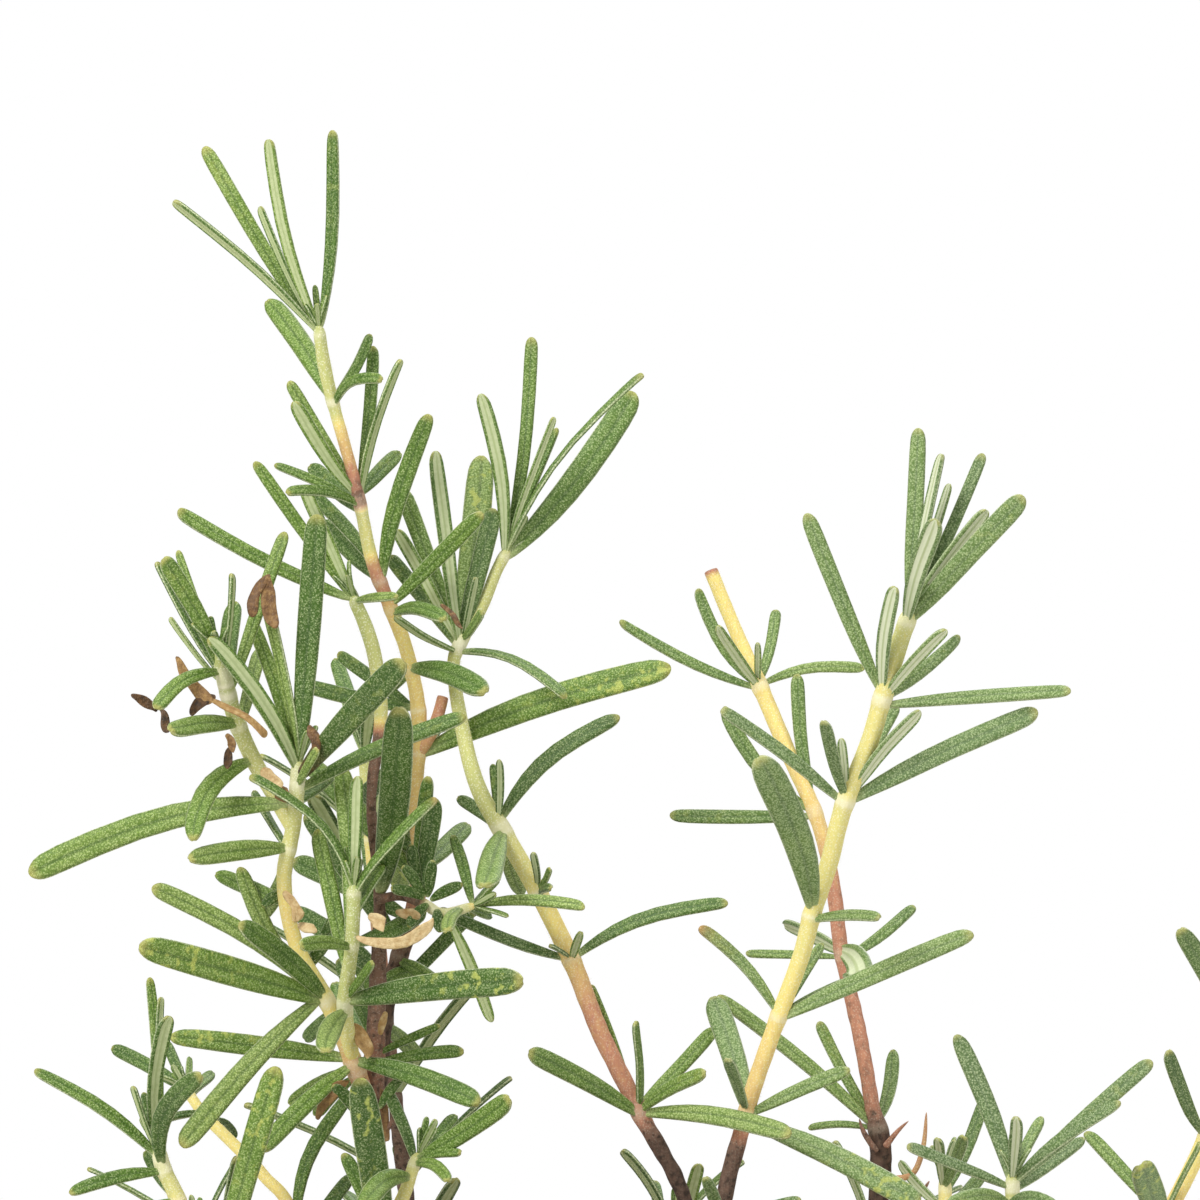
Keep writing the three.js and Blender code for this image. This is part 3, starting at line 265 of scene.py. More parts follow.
                [-31, 157.6, -2, 1.1], [-31.9, 164.5, -7, 1], [-31, 172, -10, 0.9],
                [-30.8, 179.5, -11, 0.9],
            ],
            "blades": [
                [178.8, -30.4, 193.2, -2, 2, 0, 180], [178.6, -43.9, 192.8, -2, 2.1, 3, 60],
                [178, -20.3, 190.1, -3, 2.3, 1.1, 60], [175, -27.2, 181.8, 2, 2, 0.3, 40],
                [171.5, -37.6, 171.8, -1, 2.2, 0.6, 10], [164.8, -9.8, 167.3, -5, 4.1, 0.6, 5],
                [165, -28.5, 169.7, -3, 1.5, 0, 20], [163.5, -34.2, 158.6, -5, 3.3, 0.8, 0],
                [164, -36.9, 160.2, 2, 2.2, 0.3, 10], [170, -32.3, 194.4, 4, 3, 0.8, 5],
                [168, -35.4, 186.6, 4, 2.5, 0, 5], [172, -22, 176.3, 1, 2.6, -0.6, 10],
            ],
        },
        {
            "side": [
                [-38.4, 186.5, -8, 1], [-41, 191, -7, 1], [-43.3, 195, -6, 1.1], [-45.5, 200, -8, 1.1],
                [-46.8, 204.5, -10, 1], [-47.8, 209, -12, 0.8],
            ],
            "blades": [
                [205.5, -54.5, 220.3, -1, 2.6, 0.6, 10], [205, -55.4, 220, 2, 1.6, -0.5, 60],
                [207, -52.8, 221.4, 3, 1.3, -0.3, 10], [204, -53.8, 212.7, 0, 1, -0.3, 120],
                [206, -45.9, 218.5, -1, 1.8, -0.2, 110], [206, -55.5, 201.1, -1, 2.3, 1.7, 10],
                [199.5, -53.8, 198.5, -2, 3, 0.6, 10], [195, -50.9, 185.1, -4, 3.2, 2.4, 5],
                [203, -39.5, 223.5, 4, 2, 0, 0], [203, -45.6, 214.8, 4, 2.8, 0.6, 5],
                [199, -42.5, 209, 2, 2.2, 0, 5],
            ],
        },
        {
            "side": [
                [-28, 177.5, 1.5, 0.65], [-25, 178, 0, 0.65], [-22, 177, -1, 0.65],
                [-19.6, 175.8, -2, 0.65], [-15.5, 176.9, -4, 0.55],
            ],
            "blades": [
                [177.2, -20.5, 190.6, 0, 2.7, 0, 10], [176.4, -19.2, 173.6, -2, 2.4, 0.5, 10],
                [176.8, -18.2, 185.6, 0, 1.8, 0, 10], [176.8, -13.6, 179.2, 0, 1.3, 0, 20],
                [176.8, -1.7, 176.7, -1, 1.8, 0.9, 15], [176.6, -13.8, 175.4, 1, 1.2, 0, 20],
                [175.9, -13.6, 162.2, 1, 1.9, 0.3, 165],
            ],
        },
    ],
    "low_left_shoot": [
        {
            "stem": [
                [-31, 84, -7, 1.5], [-44, 115, -10, 1.3], [-52, 138, -13, 1.1],
                [-54.6, 144, -14, 1], [-55.2, 147, -14, 0.8],
            ],
            "blades": [
                [145, -70.8, 156.5, -1, 2.2, 1, 30], [145.5, -58.4, 154.3, -2, 1.5, -0.3, 120],
                [145.5, -57.2, 153.6, 1, 1.4, 0, 20], [145.5, -53.9, 162.9, -3, 2.6, 1.5, 140],
                [146, -56, 167.7, 3, 1.6, 0.3, 15], [146, -54.7, 165.3, 1, 1.1, 0.5, 150],
                [144, -49.6, 155.6, -4, 3, 2.8, 10], [143.5, -66.1, 140.7, -2, 2.2, 0.9, 20],
                [140, -57, 146, 4, 1.9, 0, 10], [140, -63, 134, -3, 2, 1, 10],
                [134, -44, 142, 2, 2, 0.4, 10], [130, -60, 136, 3, 2.2, 0.5, 10],
                [128, -42, 134, -5, 2.2, 0.6, 10], [120, -56, 122, -4, 2.4, 0.8, 10],
                [118, -35, 126, 2, 2.2, 0.5, 10], [108, -50, 113, -4, 2.2, 0.6, 10],
                [106, -30, 113, -5, 2.4, 0.6, 10], [128, -40.6, 156.6, -6, 3.6, 0, 5],
            ],
        },
    ],
    "yellow_stemmed_shoot": [
        {
            "stem": [
                [-29, 84, 5, 1.3], [-33, 115, 5, 1.1], [-38, 137, 6, 0.85],
                [-42, 143, 7, 0.8], [-46, 147.2, 9, 0.8], [-49.6, 150.8, 10, 0.75], [-52, 154.3, 11, 0.6],
            ],
            "blades": [
                [153.5, -61.2, 158.9, 0, 2.2, 0.5, 10], [153.5, -54.4, 159.8, 1, 1.6, 0, 10],
                [153.5, -51.4, 157.8, 1, 1.1, 0, 20], [153, -48.5, 155.8, 2, 1.8, 0.3, 10],
                [150, -45.7, 147.9, 2, 1.4, 0.8, 20], [151, -55, 149.6, -2, 1.3, 0.3, 20],
                [137, -49, 139, 3, 2, 0.6, 10], [134, -31, 143, 4, 2.2, 0.4, 10],
                [122, -46, 126, 4, 2.2, 0.6, 10], [118, -24, 128, 6, 2.2, 0.4, 10],
                [104, -42, 108, 6, 2.2, 0.6, 10], [137, -31.2, 153, 2, 2.3, 2, 10],
            ],
        },
    ],
    "low_front_shoot": [
        {
            "stem": [
                [-15, 84, -16, 1.4], [-22, 112, -13, 1.2], [-26.5, 132, -10, 1],
                [-24, 142, -9, 0.85], [-22.6, 146, -9, 0.7],
            ],
            "blades": [
                [144.5, -26.7, 153.7, 2, 1.9, 0.4, 15], [145, -17.8, 150.6, 1, 1.8, 0, 15],
                [145, -11.1, 152.7, -1, 3.1, -0.3, 10], [145, -17.4, 146, -3, 1.4, 0.4, 20],
                [144.5, -19, 142.2, -3, 2, 1.2, 10], [142.8, -29.4, 138.6, -3, 3.2, 1.8, 5],
                [132, -30.3, 154.8, -2, 4.4, 0, 0], [130, -32.3, 145.9, -2, 2.3, 1, 5],
                [128, -14, 133, -2, 2.4, 0.6, 10], [116, -36, 121, -4, 2.4, 0.8, 10],
                [114, -11, 121, -3, 2.4, 0.6, 10], [102, -31, 105, -4, 2.2, 0.6, 10],
                [100, -7, 106, -4, 2.4, 0.5, 10],
            ],
        },
    ],
    "low_right_shoot": [
        {
            "stem": [
                [31, 84, -10, 1.5], [43, 112, -13, 1.3], [50.5, 134, -15, 1],
                [51.6, 143.5, -16, 0.8],
            ],
            "blades": [
                [142, 44.4, 160.6, 1, 2.8, 0.8, 5], [142.5, 52.3, 150.2, -3, 1.8, 0, 180],
                [142.5, 55.2, 150.3, 0, 1.8, 0.2, 20], [142, 69.2, 157.7, 2, 2.4, 0, 10],
                [142, 65.2, 152.2, -3, 2.4, 0.9, 50], [141, 60.5, 147.8, 0, 2.2, 0, 20],
                [141.5, 38.2, 146.7, -4, 2, 0.3, 40], [139.5, 43.6, 139.4, -1, 2.4, 1.3, 10],
                [139.5, 57, 138.8, -4, 2.3, 1.2, 10], [128, 60, 133, -2, 2.4, 0.6, 10],
                [126, 37, 133, -3, 2.4, 0.6, 10], [114, 55, 118, -4, 2.4, 0.6, 10],
                [111, 32, 120, -3, 2.4, 0.5, 10], [100, 50, 101, -4, 2.2, 0.6, 10],
            ],
        },
    ],
    "short_right_shoot": [
        {
            "stem": [
                [35, 84, 3, 1.3], [40.5, 115, 5, 1.1], [43, 138, 7, 0.9],
                [42.9, 143, 8, 0.7],
            ],
            "blades": [
                [141.5, 42.4, 147.8, -2, 1.7, 0, 160], [141.5, 45.3, 148.2, -1, 1.9, -0.2, 15],
                [140.5, 48.3, 153.2, 3, 2, -0.4, 10], [139, 37.6, 145, 2, 1.8, -0.6, 150],
                [138, 48.2, 143.4, 2, 2, 0, 10], [126, 49, 132, 3, 2.2, 0.5, 10],
                [124, 34, 131, 2, 2.2, 0.5, 10], [106, 47, 111, 5, 2.2, 0.5, 10],
            ],
        },
    ],
    "edge_shoot": [
        {
            "stem": [
                [37, 84, 12, 1.5], [54, 112, 10, 1.3], [69, 135, 8, 1.1],
                [76.5, 150, 6, 1], [79.5, 162, 5, 0.8],
            ],
            "blades": [
                [161, 72.6, 174, -1, 3, 0.3, 5], [161, 81, 178, -2, 2.4, 0, 10],
                [161, 88, 172, 1, 2.6, 0.3, 15], [160, 77.5, 171, -4, 1.8, 0, 170],
                [148, 71, 158.8, -3, 2.2, -0.5, 10], [148, 90, 153, 1, 2.6, 0.8, 15],
                [149, 84, 160, -4, 2, 0, 160], [138, 60.9, 148.7, 2, 2.2, 0, 15],
                [137, 67.6, 144.4, -6, 4.3, 0.2, 0], [138, 86, 138, -3, 2.6, 1, 10],
                [138, 75, 147.2, -5, 2, 0, 100], [122, 55, 131, 3, 2.4, 0.5, 10],
                [121, 74, 121, -4, 2.4, 0.8, 10], [108, 66, 106, 2, 2.4, 0.6, 10],
            ],
        },
    ],
}

# Shoots that the front view does not show, by a rule: (angle round the pot, distance of the foot,
# distance of the top, height of the top, pairs of blades). Angles run from +X towards +Y.
ROUND_SHOOTS = {
    "back_left_shoot": (134, 26, 44, 196, 8),
    "back_middle_shoot": (76, 22, 40, 134, 5),
    "back_right_shoot": (48, 30, 54, 132, 5),
    "far_right_shoot": (-12, 40, 66, 122, 4),
    "far_left_shoot": (150, 36, 60, 134, 5),
    "left_edge_shoot": (172, 38, 66, 124, 4),
    "front_right_shoot": (-52, 28, 56, 128, 5),
    "front_middle_shoot": (-84, 24, 50, 130, 5),
    "front_edge_shoot": (-128, 34, 58, 126, 5),
}
# The radius is that at the foot and at the top, and a bend is how far out and how far up, as
# shares. Length, width and spread are drawn: the least, and how much more it may be.
ROUND_RADIUS = (1.5, 0.8)
ROUND_STRAIGHT = 6
ROUND_BENDS = ((0.35, 0.35), (0.75, 0.7))
ROUND_FIRST_PAIR = 0.34
ROUND_BLADE = (17, 8)
ROUND_WIDTH = (2, 0.8)
ROUND_SPREAD = (0.62, 0.22)
ROUND_LOW_SPREAD = 0.3
ROUND_TURN = 0.15
ROUND_TOP_SHARE = 0.7
ROUND_LIFT = 0.6
ROUND_BOW = 1.1
SEED = 20


class Draw:
    """Seeded numbers from 0 to 1, the same series as in the part's source."""

    def __init__(self, seed):
        self.state = seed

    def __call__(self):
        self.state = (self.state * 1664525 + 1013904223) % 2**32
        return self.state / 2**32

    def over(self, least, more):
        """A number from the least to that much more."""
        return least + more * self()


draw = Draw(SEED)


def seen(x, z, depth):
    """A point of the front view, at its place in the room."""
    grow = 1 + depth / EYE_DISTANCE
    return Vector((x * grow, depth, EYE_HEIGHT + (z - EYE_HEIGHT) * grow))


def on_stem(path, height):
    """Where a stem stands at a height: tips are found first."""
    for low, high in zip(path[-2::-1], path[:0:-1]):
        z0, z1 = low["height"], high["height"]
        if (height - z0) * (height - z1) <= 0 and z0 != z1:
            return low["front"].lerp(high["front"], (height - z0) / (z1 - z0))
    return path[-1]["front"].copy()


def with_foot(corners):
    """A stem's corners with its end in the soil, straight below the first."""
    x, _, depth, radius = corners[0]
    return [(x, STEM_END, depth, radius), *corners]


def seen_path(corners):
    """A stem's corners, each at its place in the room and in the front view."""
    return [
        {"at": seen(x, z, depth), "front": Vector((x, depth, z)), "height": z, "radius": radius}
        for x, z, depth, radius in corners
    ]


def seen_blade(path, row):
    """A blade of the tables, reaching deeper where it looks too short for its width."""
    height, tip_x, tip_z, lean, width, bow, face = row
    root = on_stem(path, height)
    base = seen(root.x, root.z, root.y)
    flat = math.hypot(tip_x - root.x, tip_z - root.z)
    hidden = HIDDEN_SHARE * math.sqrt(max((TRUE_LENGTH * width) ** 2 - flat**2, 0))
    reach = max(abs(lean), hidden) * (-1 if lean < 0 else 1)
    tip = seen(tip_x, tip_z, root.y + reach)
    return dict(framed(base, tip, width, bow, face), path=path, mark=(tip_x, tip_z))


def framed(base, tip, width, bow, face):
    """A blade of the front view, with its upper side turned about its length."""
    dx, dz = tip.x - base.x, tip.z - base.z
    up = Vector((dz, 0, -dx) if dx < 0 else (-dz, 0, dx)).normalized()
    turn = math.radians(face)
    upper = Vector((0, -math.cos(turn), 0)) + up * math.sin(turn)
    return {"base": base, "tip": tip, "up": up, "bow": bow, "width": width, "upper": upper,
            "sway": Vector((0, 1, 0)), "path": None, "mark": None}


def round_path(rule):
    """A stem by the rule: straight out of the soil, then leaning out in two bends."""
    angle, foot, reach, height, _ = rule
    turn = math.radians(angle)
    rise = height - SOIL_TOP
    bends = [(foot + (reach - foot) * share, SOIL_TOP + rise * up) for share, up in ROUND_BENDS]
    corners = [(foot, STEM_END), (foot, SOIL_TOP + ROUND_STRAIGHT), *bends, (reach, height)]
    path = []
    for i, (far, z) in enumerate(corners):
        at = Vector((far * math.cos(turn), far * math.sin(turn), z))
        radius = ROUND_RADIUS[0] + (ROUND_RADIUS[1] - ROUND_RADIUS[0]) * i / (len(corners) - 1)
        path.append({"at": at, "front": at.copy(), "height": z, "radius": radius})
    return path


def beside(axis, turn):
    """A direction square to an axis, at a turn round it."""
    across = (Vector((1, 0, 0)) - axis * axis.x).normalized()
    return across * math.cos(turn) + axis.cross(across) * math.sin(turn)


def sprout(base, axis, turn, spread, long, width, bow):
    """A blade that stands off a stem's axis, turned round it."""
    out = beside(axis, turn)
    tip = base + axis * (long * math.cos(spread)) + out * (long * math.sin(spread))
    upper = (axis - out * ROUND_LIFT).normalized()
    return {"base": base, "tip": tip, "up": axis.copy(), "bow": bow, "width": width, "upper": upper,
            "sway": axis.cross(out).normalized(), "path": None, "mark": None}


def round_blades(path, rule):
    """Pairs of blades, each pair a quarter turn on from the one below it."""
    height, pairs = rule[3], rule[4]
    low = SOIL_TOP + (height - SOIL_TOP) * ROUND_FIRST_PAIR
    blades = []
    for i in range(pairs):
        level = low + (height - 1 - low) * i / (pairs - 1)
        base = on_stem(path, level)
        axis = (on_stem(path, level + 1) - on_stem(path, level - 3)).normalized()
        start = math.pi * (i / 2 + ROUND_TURN * draw())
        for turn in (start, start + math.pi):
            flare = ROUND_LOW_SPREAD * (1 - i / (pairs - 1))
            spread = draw.over(*ROUND_SPREAD) + flare
            share = ROUND_TOP_SHARE if i == pairs - 1 else 1
            long = share * draw.over(*ROUND_BLADE)
            width = draw.over(*ROUND_WIDTH)
            blade = sprout(base, axis, turn, spread, long, width, ROUND_BOW)
            blades.append(dict(blade, path=path))
    return blades


def blade_point(blade, t):
    """A point of a blade's middle line, at a share of its length."""
    return blade["base"].lerp(blade["tip"], t) + blade["up"] * (blade["bow"] * 4 * t * (1 - t))


def widening(t):
    """How a blade widens from its foot, as a share of its full width."""
    return BLADE_ROOT + (1 - BLADE_ROOT) * math.sin(math.pi / 2 * min(t / WIDEST_FROM, 1))


def swell(t):
    """How wide the part's blade is at a point of its length, as a share of its full width."""
    end = min(max((t - TIP_FROM) / (1 - TIP_FROM), 0), 1)
    return widening(t) * math.sqrt(1 - end**2)


class Room:
    """What the stems and blades placed so far take up, and the room that a new blade has."""

    def __init__(self):
        self.points = []
        self.radii = []
        self.nodes = []
        self.free = []

    def add(self, node, points, radii, free):
        self.points.extend(points)
        self.radii.extend(radii)
        self.nodes.extend([node] * len(points))
        self.free.extend(free)

    def settle(self, blade, node):
        """Swings a blade aside until it is clear, or as clear as it can be."""
        points, radii = np.array(self.points), np.array(self.radii)
        own = np.array(self.nodes) == node
        others, ours = ~own, own & np.array(self.free)
        best = None
        for step in SWINGS:
            swung = dict(blade, tip=blade["tip"] + blade["sway"] * (step * SWING))
            parts = [(i + 1) / SAMPLES for i in range(SAMPLES)]
            at = [tuple(blade_point(swung, t)) for t in parts]
            wide = [SHARE * blade["width"] * max(swell(t), LEAST_SWELL) for t in parts]
            free = math.inf
            for first, mask in ((0, others), (FREE_FROM, ours)):
                if mask.any():
                    apart = np.linalg.norm(np.array(at[first:])[:, None] - points[mask], axis=2)
                    gaps = apart - np.array(wide[first:])[:, None] - radii[mask]
                    free = min(free, gaps.min())
            if best is None or free > best[0]:
                best = (free, swung, at, wide)
            if free >= CLEAR:
                break
        self.add(node, best[2], best[3], [i >= FREE_FROM for i in range(SAMPLES)])
        return best[1]


shoots = {}
for node, parts in SHOOTS.items():
    paths = [seen_path(with_foot(part["stem"]) if "stem" in part else part["side"]) for part in parts]
    blades = [seen_blade(path, row) for path, part in zip(paths, parts) for row in part["blades"]]
    shoots[node] = {"paths": paths, "blades": blades}
for node, rule in ROUND_SHOOTS.items():
    path = round_path(rule)
    shoots[node] = {"paths": [path], "blades": round_blades(path, rule)}

# All stems take their place first, then the blades, shoot by shoot.
room = Room()
for node, shoot in shoots.items():
    for path in shoot["paths"]:
        for low, high in zip(path, path[1:]):
            steps = math.ceil((high["at"] - low["at"]).length / STEM_STEP)
            at = [tuple(low["at"].lerp(high["at"], j / steps)) for j in range(steps)]
            room.add(node, at, [low["radius"]] * steps, [False] * steps)
for node, shoot in shoots.items():
    shoot["blades"] = [room.settle(blade, node) for blade in shoot["blades"]]


# Materials ------------------------------------------------------------------------------------

def hexed(code):
    """A colour as a web page writes it, for the shader."""
    channels = [int(code[i:i + 2], 16) / 255 for i in (0, 2, 4)]
    return (*[c / 12.92 if c <= 0.04045 else ((c + 0.055) / 1.055) ** 2.4 for c in channels], 1)


class Wire:
    """A shader value: an output socket that sums and products add Math nodes to."""

    def __init__(self, paint, socket):
        self.paint = paint
        self.socket = socket

    def maths(self, operation, *values):
        return self.paint.node("ShaderNodeMath", {"operation": operation}, dict(enumerate(values)))

    def __add__(self, other):
        return self.maths("ADD", self, other)

    def __radd__(self, other):
        return self.maths("ADD", other, self)

    def __sub__(self, other):
        return self.maths("SUBTRACT", self, other)

    def __rsub__(self, other):
        return self.maths("SUBTRACT", other, self)

    def __mul__(self, other):
        return self.maths("MULTIPLY", self, other)

    def __rmul__(self, other):
        return self.maths("MULTIPLY", other, self)

    def __abs__(self):
        return self.maths("ABSOLUTE", self)

    def between(self, low, high):
        """0 below low, 1 above high, with a soft step between."""
        settings = {"interpolation_type": "SMOOTHSTEP"}
        sockets = {"Value": self, "From Min": low, "From Max": high}
        return self.paint.node("ShaderNodeMapRange", settings, sockets)


class Paint:
    """A material whose nodes are made by name."""

    def __init__(self, name):
        self.material = bpy.data.materials.new(name)
        self.material.use_nodes = True
        self.tree = self.material.node_tree
        self.shader = self.tree.nodes["Principled BSDF"]

    def node(self, kind, settings=None, sockets=None, output=0):
        """A node by its type, its settings and the values or links of its sockets."""
        made = self.tree.nodes.new(kind)
        for key, value in (settings or {}).items():
            if key == "stops":
                self.set_stops(made.color_ramp, value)
            else:
                setattr(made, key, value)
        for key, value in (sockets or {}).items():
            self.put(made.inputs[key], value)
        return Wire(self, made.outputs[output])

    def put(self, socket, value):
        if isinstance(value, Wire):
            self.tree.links.new(value.socket, socket)
        else:
            socket.default_value = value

    def set_stops(self, ramp, stops):
        while len(ramp.elements) < len(stops):
            ramp.elements.new(0.5)
        for element, (position, colour) in zip(ramp.elements, stops):
            element.position = position
            element.color = hexed(colour)

    def attribute(self, name):
        return self.node("ShaderNodeAttribute", {"attribute_name": name}, output="Fac")

    def place(self, x=1, y=1, z=1):
        """Object coordinates in millimetres, times a share along each axis to draw a pattern out."""
        at = self.node("ShaderNodeTexCoord", output="Object")
        return self.node("ShaderNodeMapping", None, {"Vector": at, "Scale": (x / MM, y / MM, z / MM)})

    def noise(self, vector, scale, detail=2.0, rough=0.5):
        sockets = {"Vector": vector, "Scale": scale, "Detail": detail, "Roughness": rough}
        return self.node("ShaderNodeTexNoise", None, sockets)

    def cells(self, vector, scale):
        return self.node("ShaderNodeTexVoronoi", None, {"Vector": vector, "Scale": scale})

    def mix(self, share, first, second):
        """The first colour where the share is 0, the second where it is 1."""
        first, second = (hexed(c) if isinstance(c, str) else c for c in (first, second))
        sockets = {0: share, 6: first, 7: second}
        return self.node("ShaderNodeMix", {"data_type": "RGBA"}, sockets, output=2)

    def ramp(self, share, stops):
        return self.node("ShaderNodeValToRGB", {"stops": stops}, {"Fac": share})

    def finish(self, colour, rough, height=None, depth=0.0, **constants):
        self.put(self.shader.inputs["Base Color"], colour)
        self.put(self.shader.inputs["Roughness"], rough)
        if height is not None:
            bump = self.node("ShaderNodeBump", None, {"Height": height, "Distance": depth})
            self.put(self.shader.inputs["Normal"], bump)
        for name, value in constants.items():
            self.shader.inputs[name.replace("_", " ")].default_value = value
        return self.material


def leaf_paint():
    """Green, pimpled and waxy above, with a pale felted underside, rolled edges and a midrib."""
    paint = Paint("rosemary_leaf")
    room_mm = paint.place()
    across = abs(paint.attribute("across"))
    along = paint.attribute("along")
    upper = paint.attribute("upper").between(0.35, 0.65)
    tint = paint.attribute("tint")
    blotch = paint.attribute("blotch")
    bloom = paint.attribute("bloom")
    dry = paint.attribute("dry")

    broad = paint.noise(room_mm, 0.22)
    fine = paint.noise(room_mm, 1.6, 3.0)
    pimples = paint.cells(room_mm, 4.0).between(0.15, 0.75)
    grain = paint.noise(room_mm, 7.0, 1.0)

    # The blade's tone value is partly painted shade: it darkens blades that lie in shade, besides varying
    # their own green.
    shade = (tint * 0.75 + broad * 0.35 + fine * 0.2 - 0.17).between(0.0, 1.0)
    green = paint.ramp(shade, [(0.0, "34530f"), (0.3, "53771c"), (0.65, "7a9a34"), (1.0, "a0b55f")])
    green = paint.mix(pimples * 0.55, green, "31500f")
    green = paint.mix((1 - pimples) * grain.between(0.35, 0.65) * 0.45, green, "dbe5ae")
    # Painted shade: the midrib furrow and the rolled edges are darkened as if in shade, and the ridges
    # between them are left lighter.
    unshaded_ridge = across.between(0.0, 0.2) * (1 - across.between(0.6, 0.9) * 0.7)
    green = paint.mix((1 - unshaded_ridge) * 0.52, green, "2f4c17")
    green = paint.mix(across.between(0.84, 1.0) * (1 - pimples * 0.6), green, "d8dfb4")
    green = paint.mix((1 - along.between(0.0, 0.12)) * 0.6, green, "c6cf92")
    green = paint.mix(along.between(0.95, 1.0) * 0.6, green, "b9b063")
    green = paint.mix(bloom * (0.38 - pimples * 0.26), green, "b2c199")
    felt = paint.mix(fine, "9dab74", "c9d1a4")
    felt = paint.mix(bloom * 0.6, felt, "dcdfc8")
    felt = paint.mix((1 - across.between(0.04, 0.16)) * 0.7, felt, "9dab76")
    colour = paint.mix(upper, felt, green)
    spots = paint.noise(room_mm, 0.85).between(0.54, 0.68)
    spots = spots * along.between(0.3, 0.75)
    colour = paint.mix(spots * blotch * upper * 0.65, colour, "bfc663")
    tone = fine * 0.5 + tint * 0.5
    brown = paint.ramp(tone, [(0.15, "33261a"), (0.35, "6b4c2c"), (0.6, "ab8752"), (0.85, "dac596")])
    colour = paint.mix(dry, colour, brown)

    rough = 0.86 - upper * 0.42 + grain * 0.14
    height = (1 - pimples) * (upper * 0.7 + 0.3) + grain * 0.35
    return paint.finish(colour, rough, height, 0.05 * MM, Specular_IOR_Level=0.4)


def stem_paint():
    """From pale felted green through tan and red-brown to dark speckled bark, by age."""
    paint = Paint("rosemary_stem")
    streaks = paint.place(z=0.12)
    room_mm = paint.place()
    age = paint.attribute("age")
    ring = paint.attribute("ring")
    lines = paint.noise(streaks, 2.4, 3.0)
    felt = paint.noise(room_mm, 5.0, 2.0)
    down = 1 - paint.cells(room_mm, 3.6).between(0.1, 0.5)
    specks = paint.noise(room_mm, 1.4, 3.0)
    shade = age + (lines - 0.5) * 0.16 + (specks - 0.5) * age * 0.25
    colour = paint.ramp(shade, [
        (0.0, "b3ba75"), (0.14, "d3cf86"), (0.3, "eed984"), (0.46, "d9b476"),
        (0.62, "c0866b"), (0.8, "7a5e4f"), (1.0, "46382f"),
    ])
    colour = paint.mix(down * (1 - age) * 0.65, colour, "f3f2da")
    colour = paint.mix(ring * ring * 0.85, colour, "efead0")
    dark = specks.between(0.56, 0.64) * age.between(0.55, 0.85)
    colour = paint.mix(dark * 0.6, colour, "2e241d")
    rough = 0.82 - (1 - age) * 0.08 + felt * 0.1
    height = lines * 0.7 + felt * (1 - age) * 0.4 + specks * age * 0.8
    return paint.finish(colour, rough, height, 0.12 * MM, Specular_IOR_Level=0.3)


def pot_paint():
    """Matt moulded plastic in terracotta, with fine grain, scuffs and dust from the soil."""
    paint = Paint("terracotta_plastic")
    room_mm = paint.place()
    turning = paint.place(0.05, 0.05, 1.4)
    height_up = paint.node("ShaderNodeSeparateXYZ", None, {"Vector": room_mm}, output="Z")
    grain = paint.noise(room_mm, 3.0, 2.0)
    cloud = paint.noise(room_mm, 0.05, 4.0, 0.6)
    lines = paint.noise(turning, 1.0, 2.0)
    scuffs = paint.noise(paint.place(0.9, 0.9, 0.1), 0.9, 3.0)
    colour = paint.ramp(cloud, [(0.3, "9a4f33"), (0.55, "ad5d3d"), (0.75, "b96c4a")])
    colour = paint.mix(grain * 0.18, colour, "d39a79")
    dust = height_up.between(66, 88) * cloud.between(0.45, 0.62)
    colour = paint.mix(dust * 0.35, colour, "6d5240")
    worn = scuffs.between(0.66, 0.78) * 0.25
    colour = paint.mix(worn, colour, "cf9b80")
    rough = 0.52 + grain * 0.12 + dust * 0.2
    return paint.finish(colour, rough, grain * 0.5 + lines * 0.5, 0.08 * MM)


def soil_paint():
    """Dark damp peat with lighter fibres."""
    paint = Paint("potting_soil")
    room_mm = paint.place()
    lumps = paint.noise(room_mm, 0.5, 5.0, 0.65)
    fibres = paint.noise(room_mm, 3.0, 3.0, 0.6)
    crumbs = paint.cells(room_mm, 0.8)
    colour = paint.ramp(lumps, [(0.3, "1d1510"), (0.5, "33251b"), (0.68, "54402f"), (0.8, "6d563f")])
    colour = paint.mix(fibres.between(0.6, 0.7) * 0.5, colour, "8a6f50")
    height = lumps + crumbs * 0.5 + fibres * 0.3
    return paint.finish(colour, 0.9 + fibres * 0.08, height, 0.6 * MM, Specular_IOR_Level=0.25)


def crumb_paint(name, stops, rough):
    """Bits in and on the soil."""
    paint = Paint(name)
    room_mm = paint.place()
    cloud = paint.noise(room_mm, 1.1, 4.0, 0.6)
    colour = paint.ramp(cloud, stops)
    return paint.finish(colour, rough + cloud * 0.1, cloud, 0.2 * MM)


# Meshes ---------------------------------------------------------------------------------------

def piece(name, bm, material, nodes=(), smooth=True, levels=0):
    """A finished mesh as a piece of the plant, riding on its body."""
    mesh = bpy.data.meshes.new(name)
    bm.to_mesh(mesh)
    bm.free()
    mesh.materials.append(material)
    if smooth:
        mesh.shade_smooth()
    else:
        mesh.shade_flat()
    thing = bpy.data.objects.new(name, mesh)
    bpy.context.scene.collection.objects.link(thing)
    if levels:
        rounding = thing.modifiers.new("rounding", "SUBSURF")
        rounding.levels = rounding.render_levels = levels
    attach(thing, "root")
    if nodes:
        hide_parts(*nodes)


# Leaf section, as shares of half the width and of half the thickness: a furrow above, rolled
# edges, and a midrib between two grooves below.
LEAF_SECTION = [
    (0, 0.3), (0.5, 1), (1, 0), (0.68, -0.95), (0.3, -0.15),
    (0, -0.7), (-0.3, -0.15), (-0.68, -0.95), (-1, 0), (-0.5, 1),
]
# Stations along a leaf: shares of its length, then, from 1 on, how far round its blunt tip.
LEAF_STATIONS = [0, 0.1, 0.3, 0.56, 1, 1.6, 1.9, 1.99]
TIP_ROUND = 0.75
DRY_FADE = 0.12
# across: 0 in the middle, 1 or -1 at the edges. upper: 1 above and on the rolled edges, 0 below.
LEAF_LAYERS = ("across", "along", "upper", "tint", "blotch", "bloom", "dry")
STEM_LAYERS = ("age", "ring")
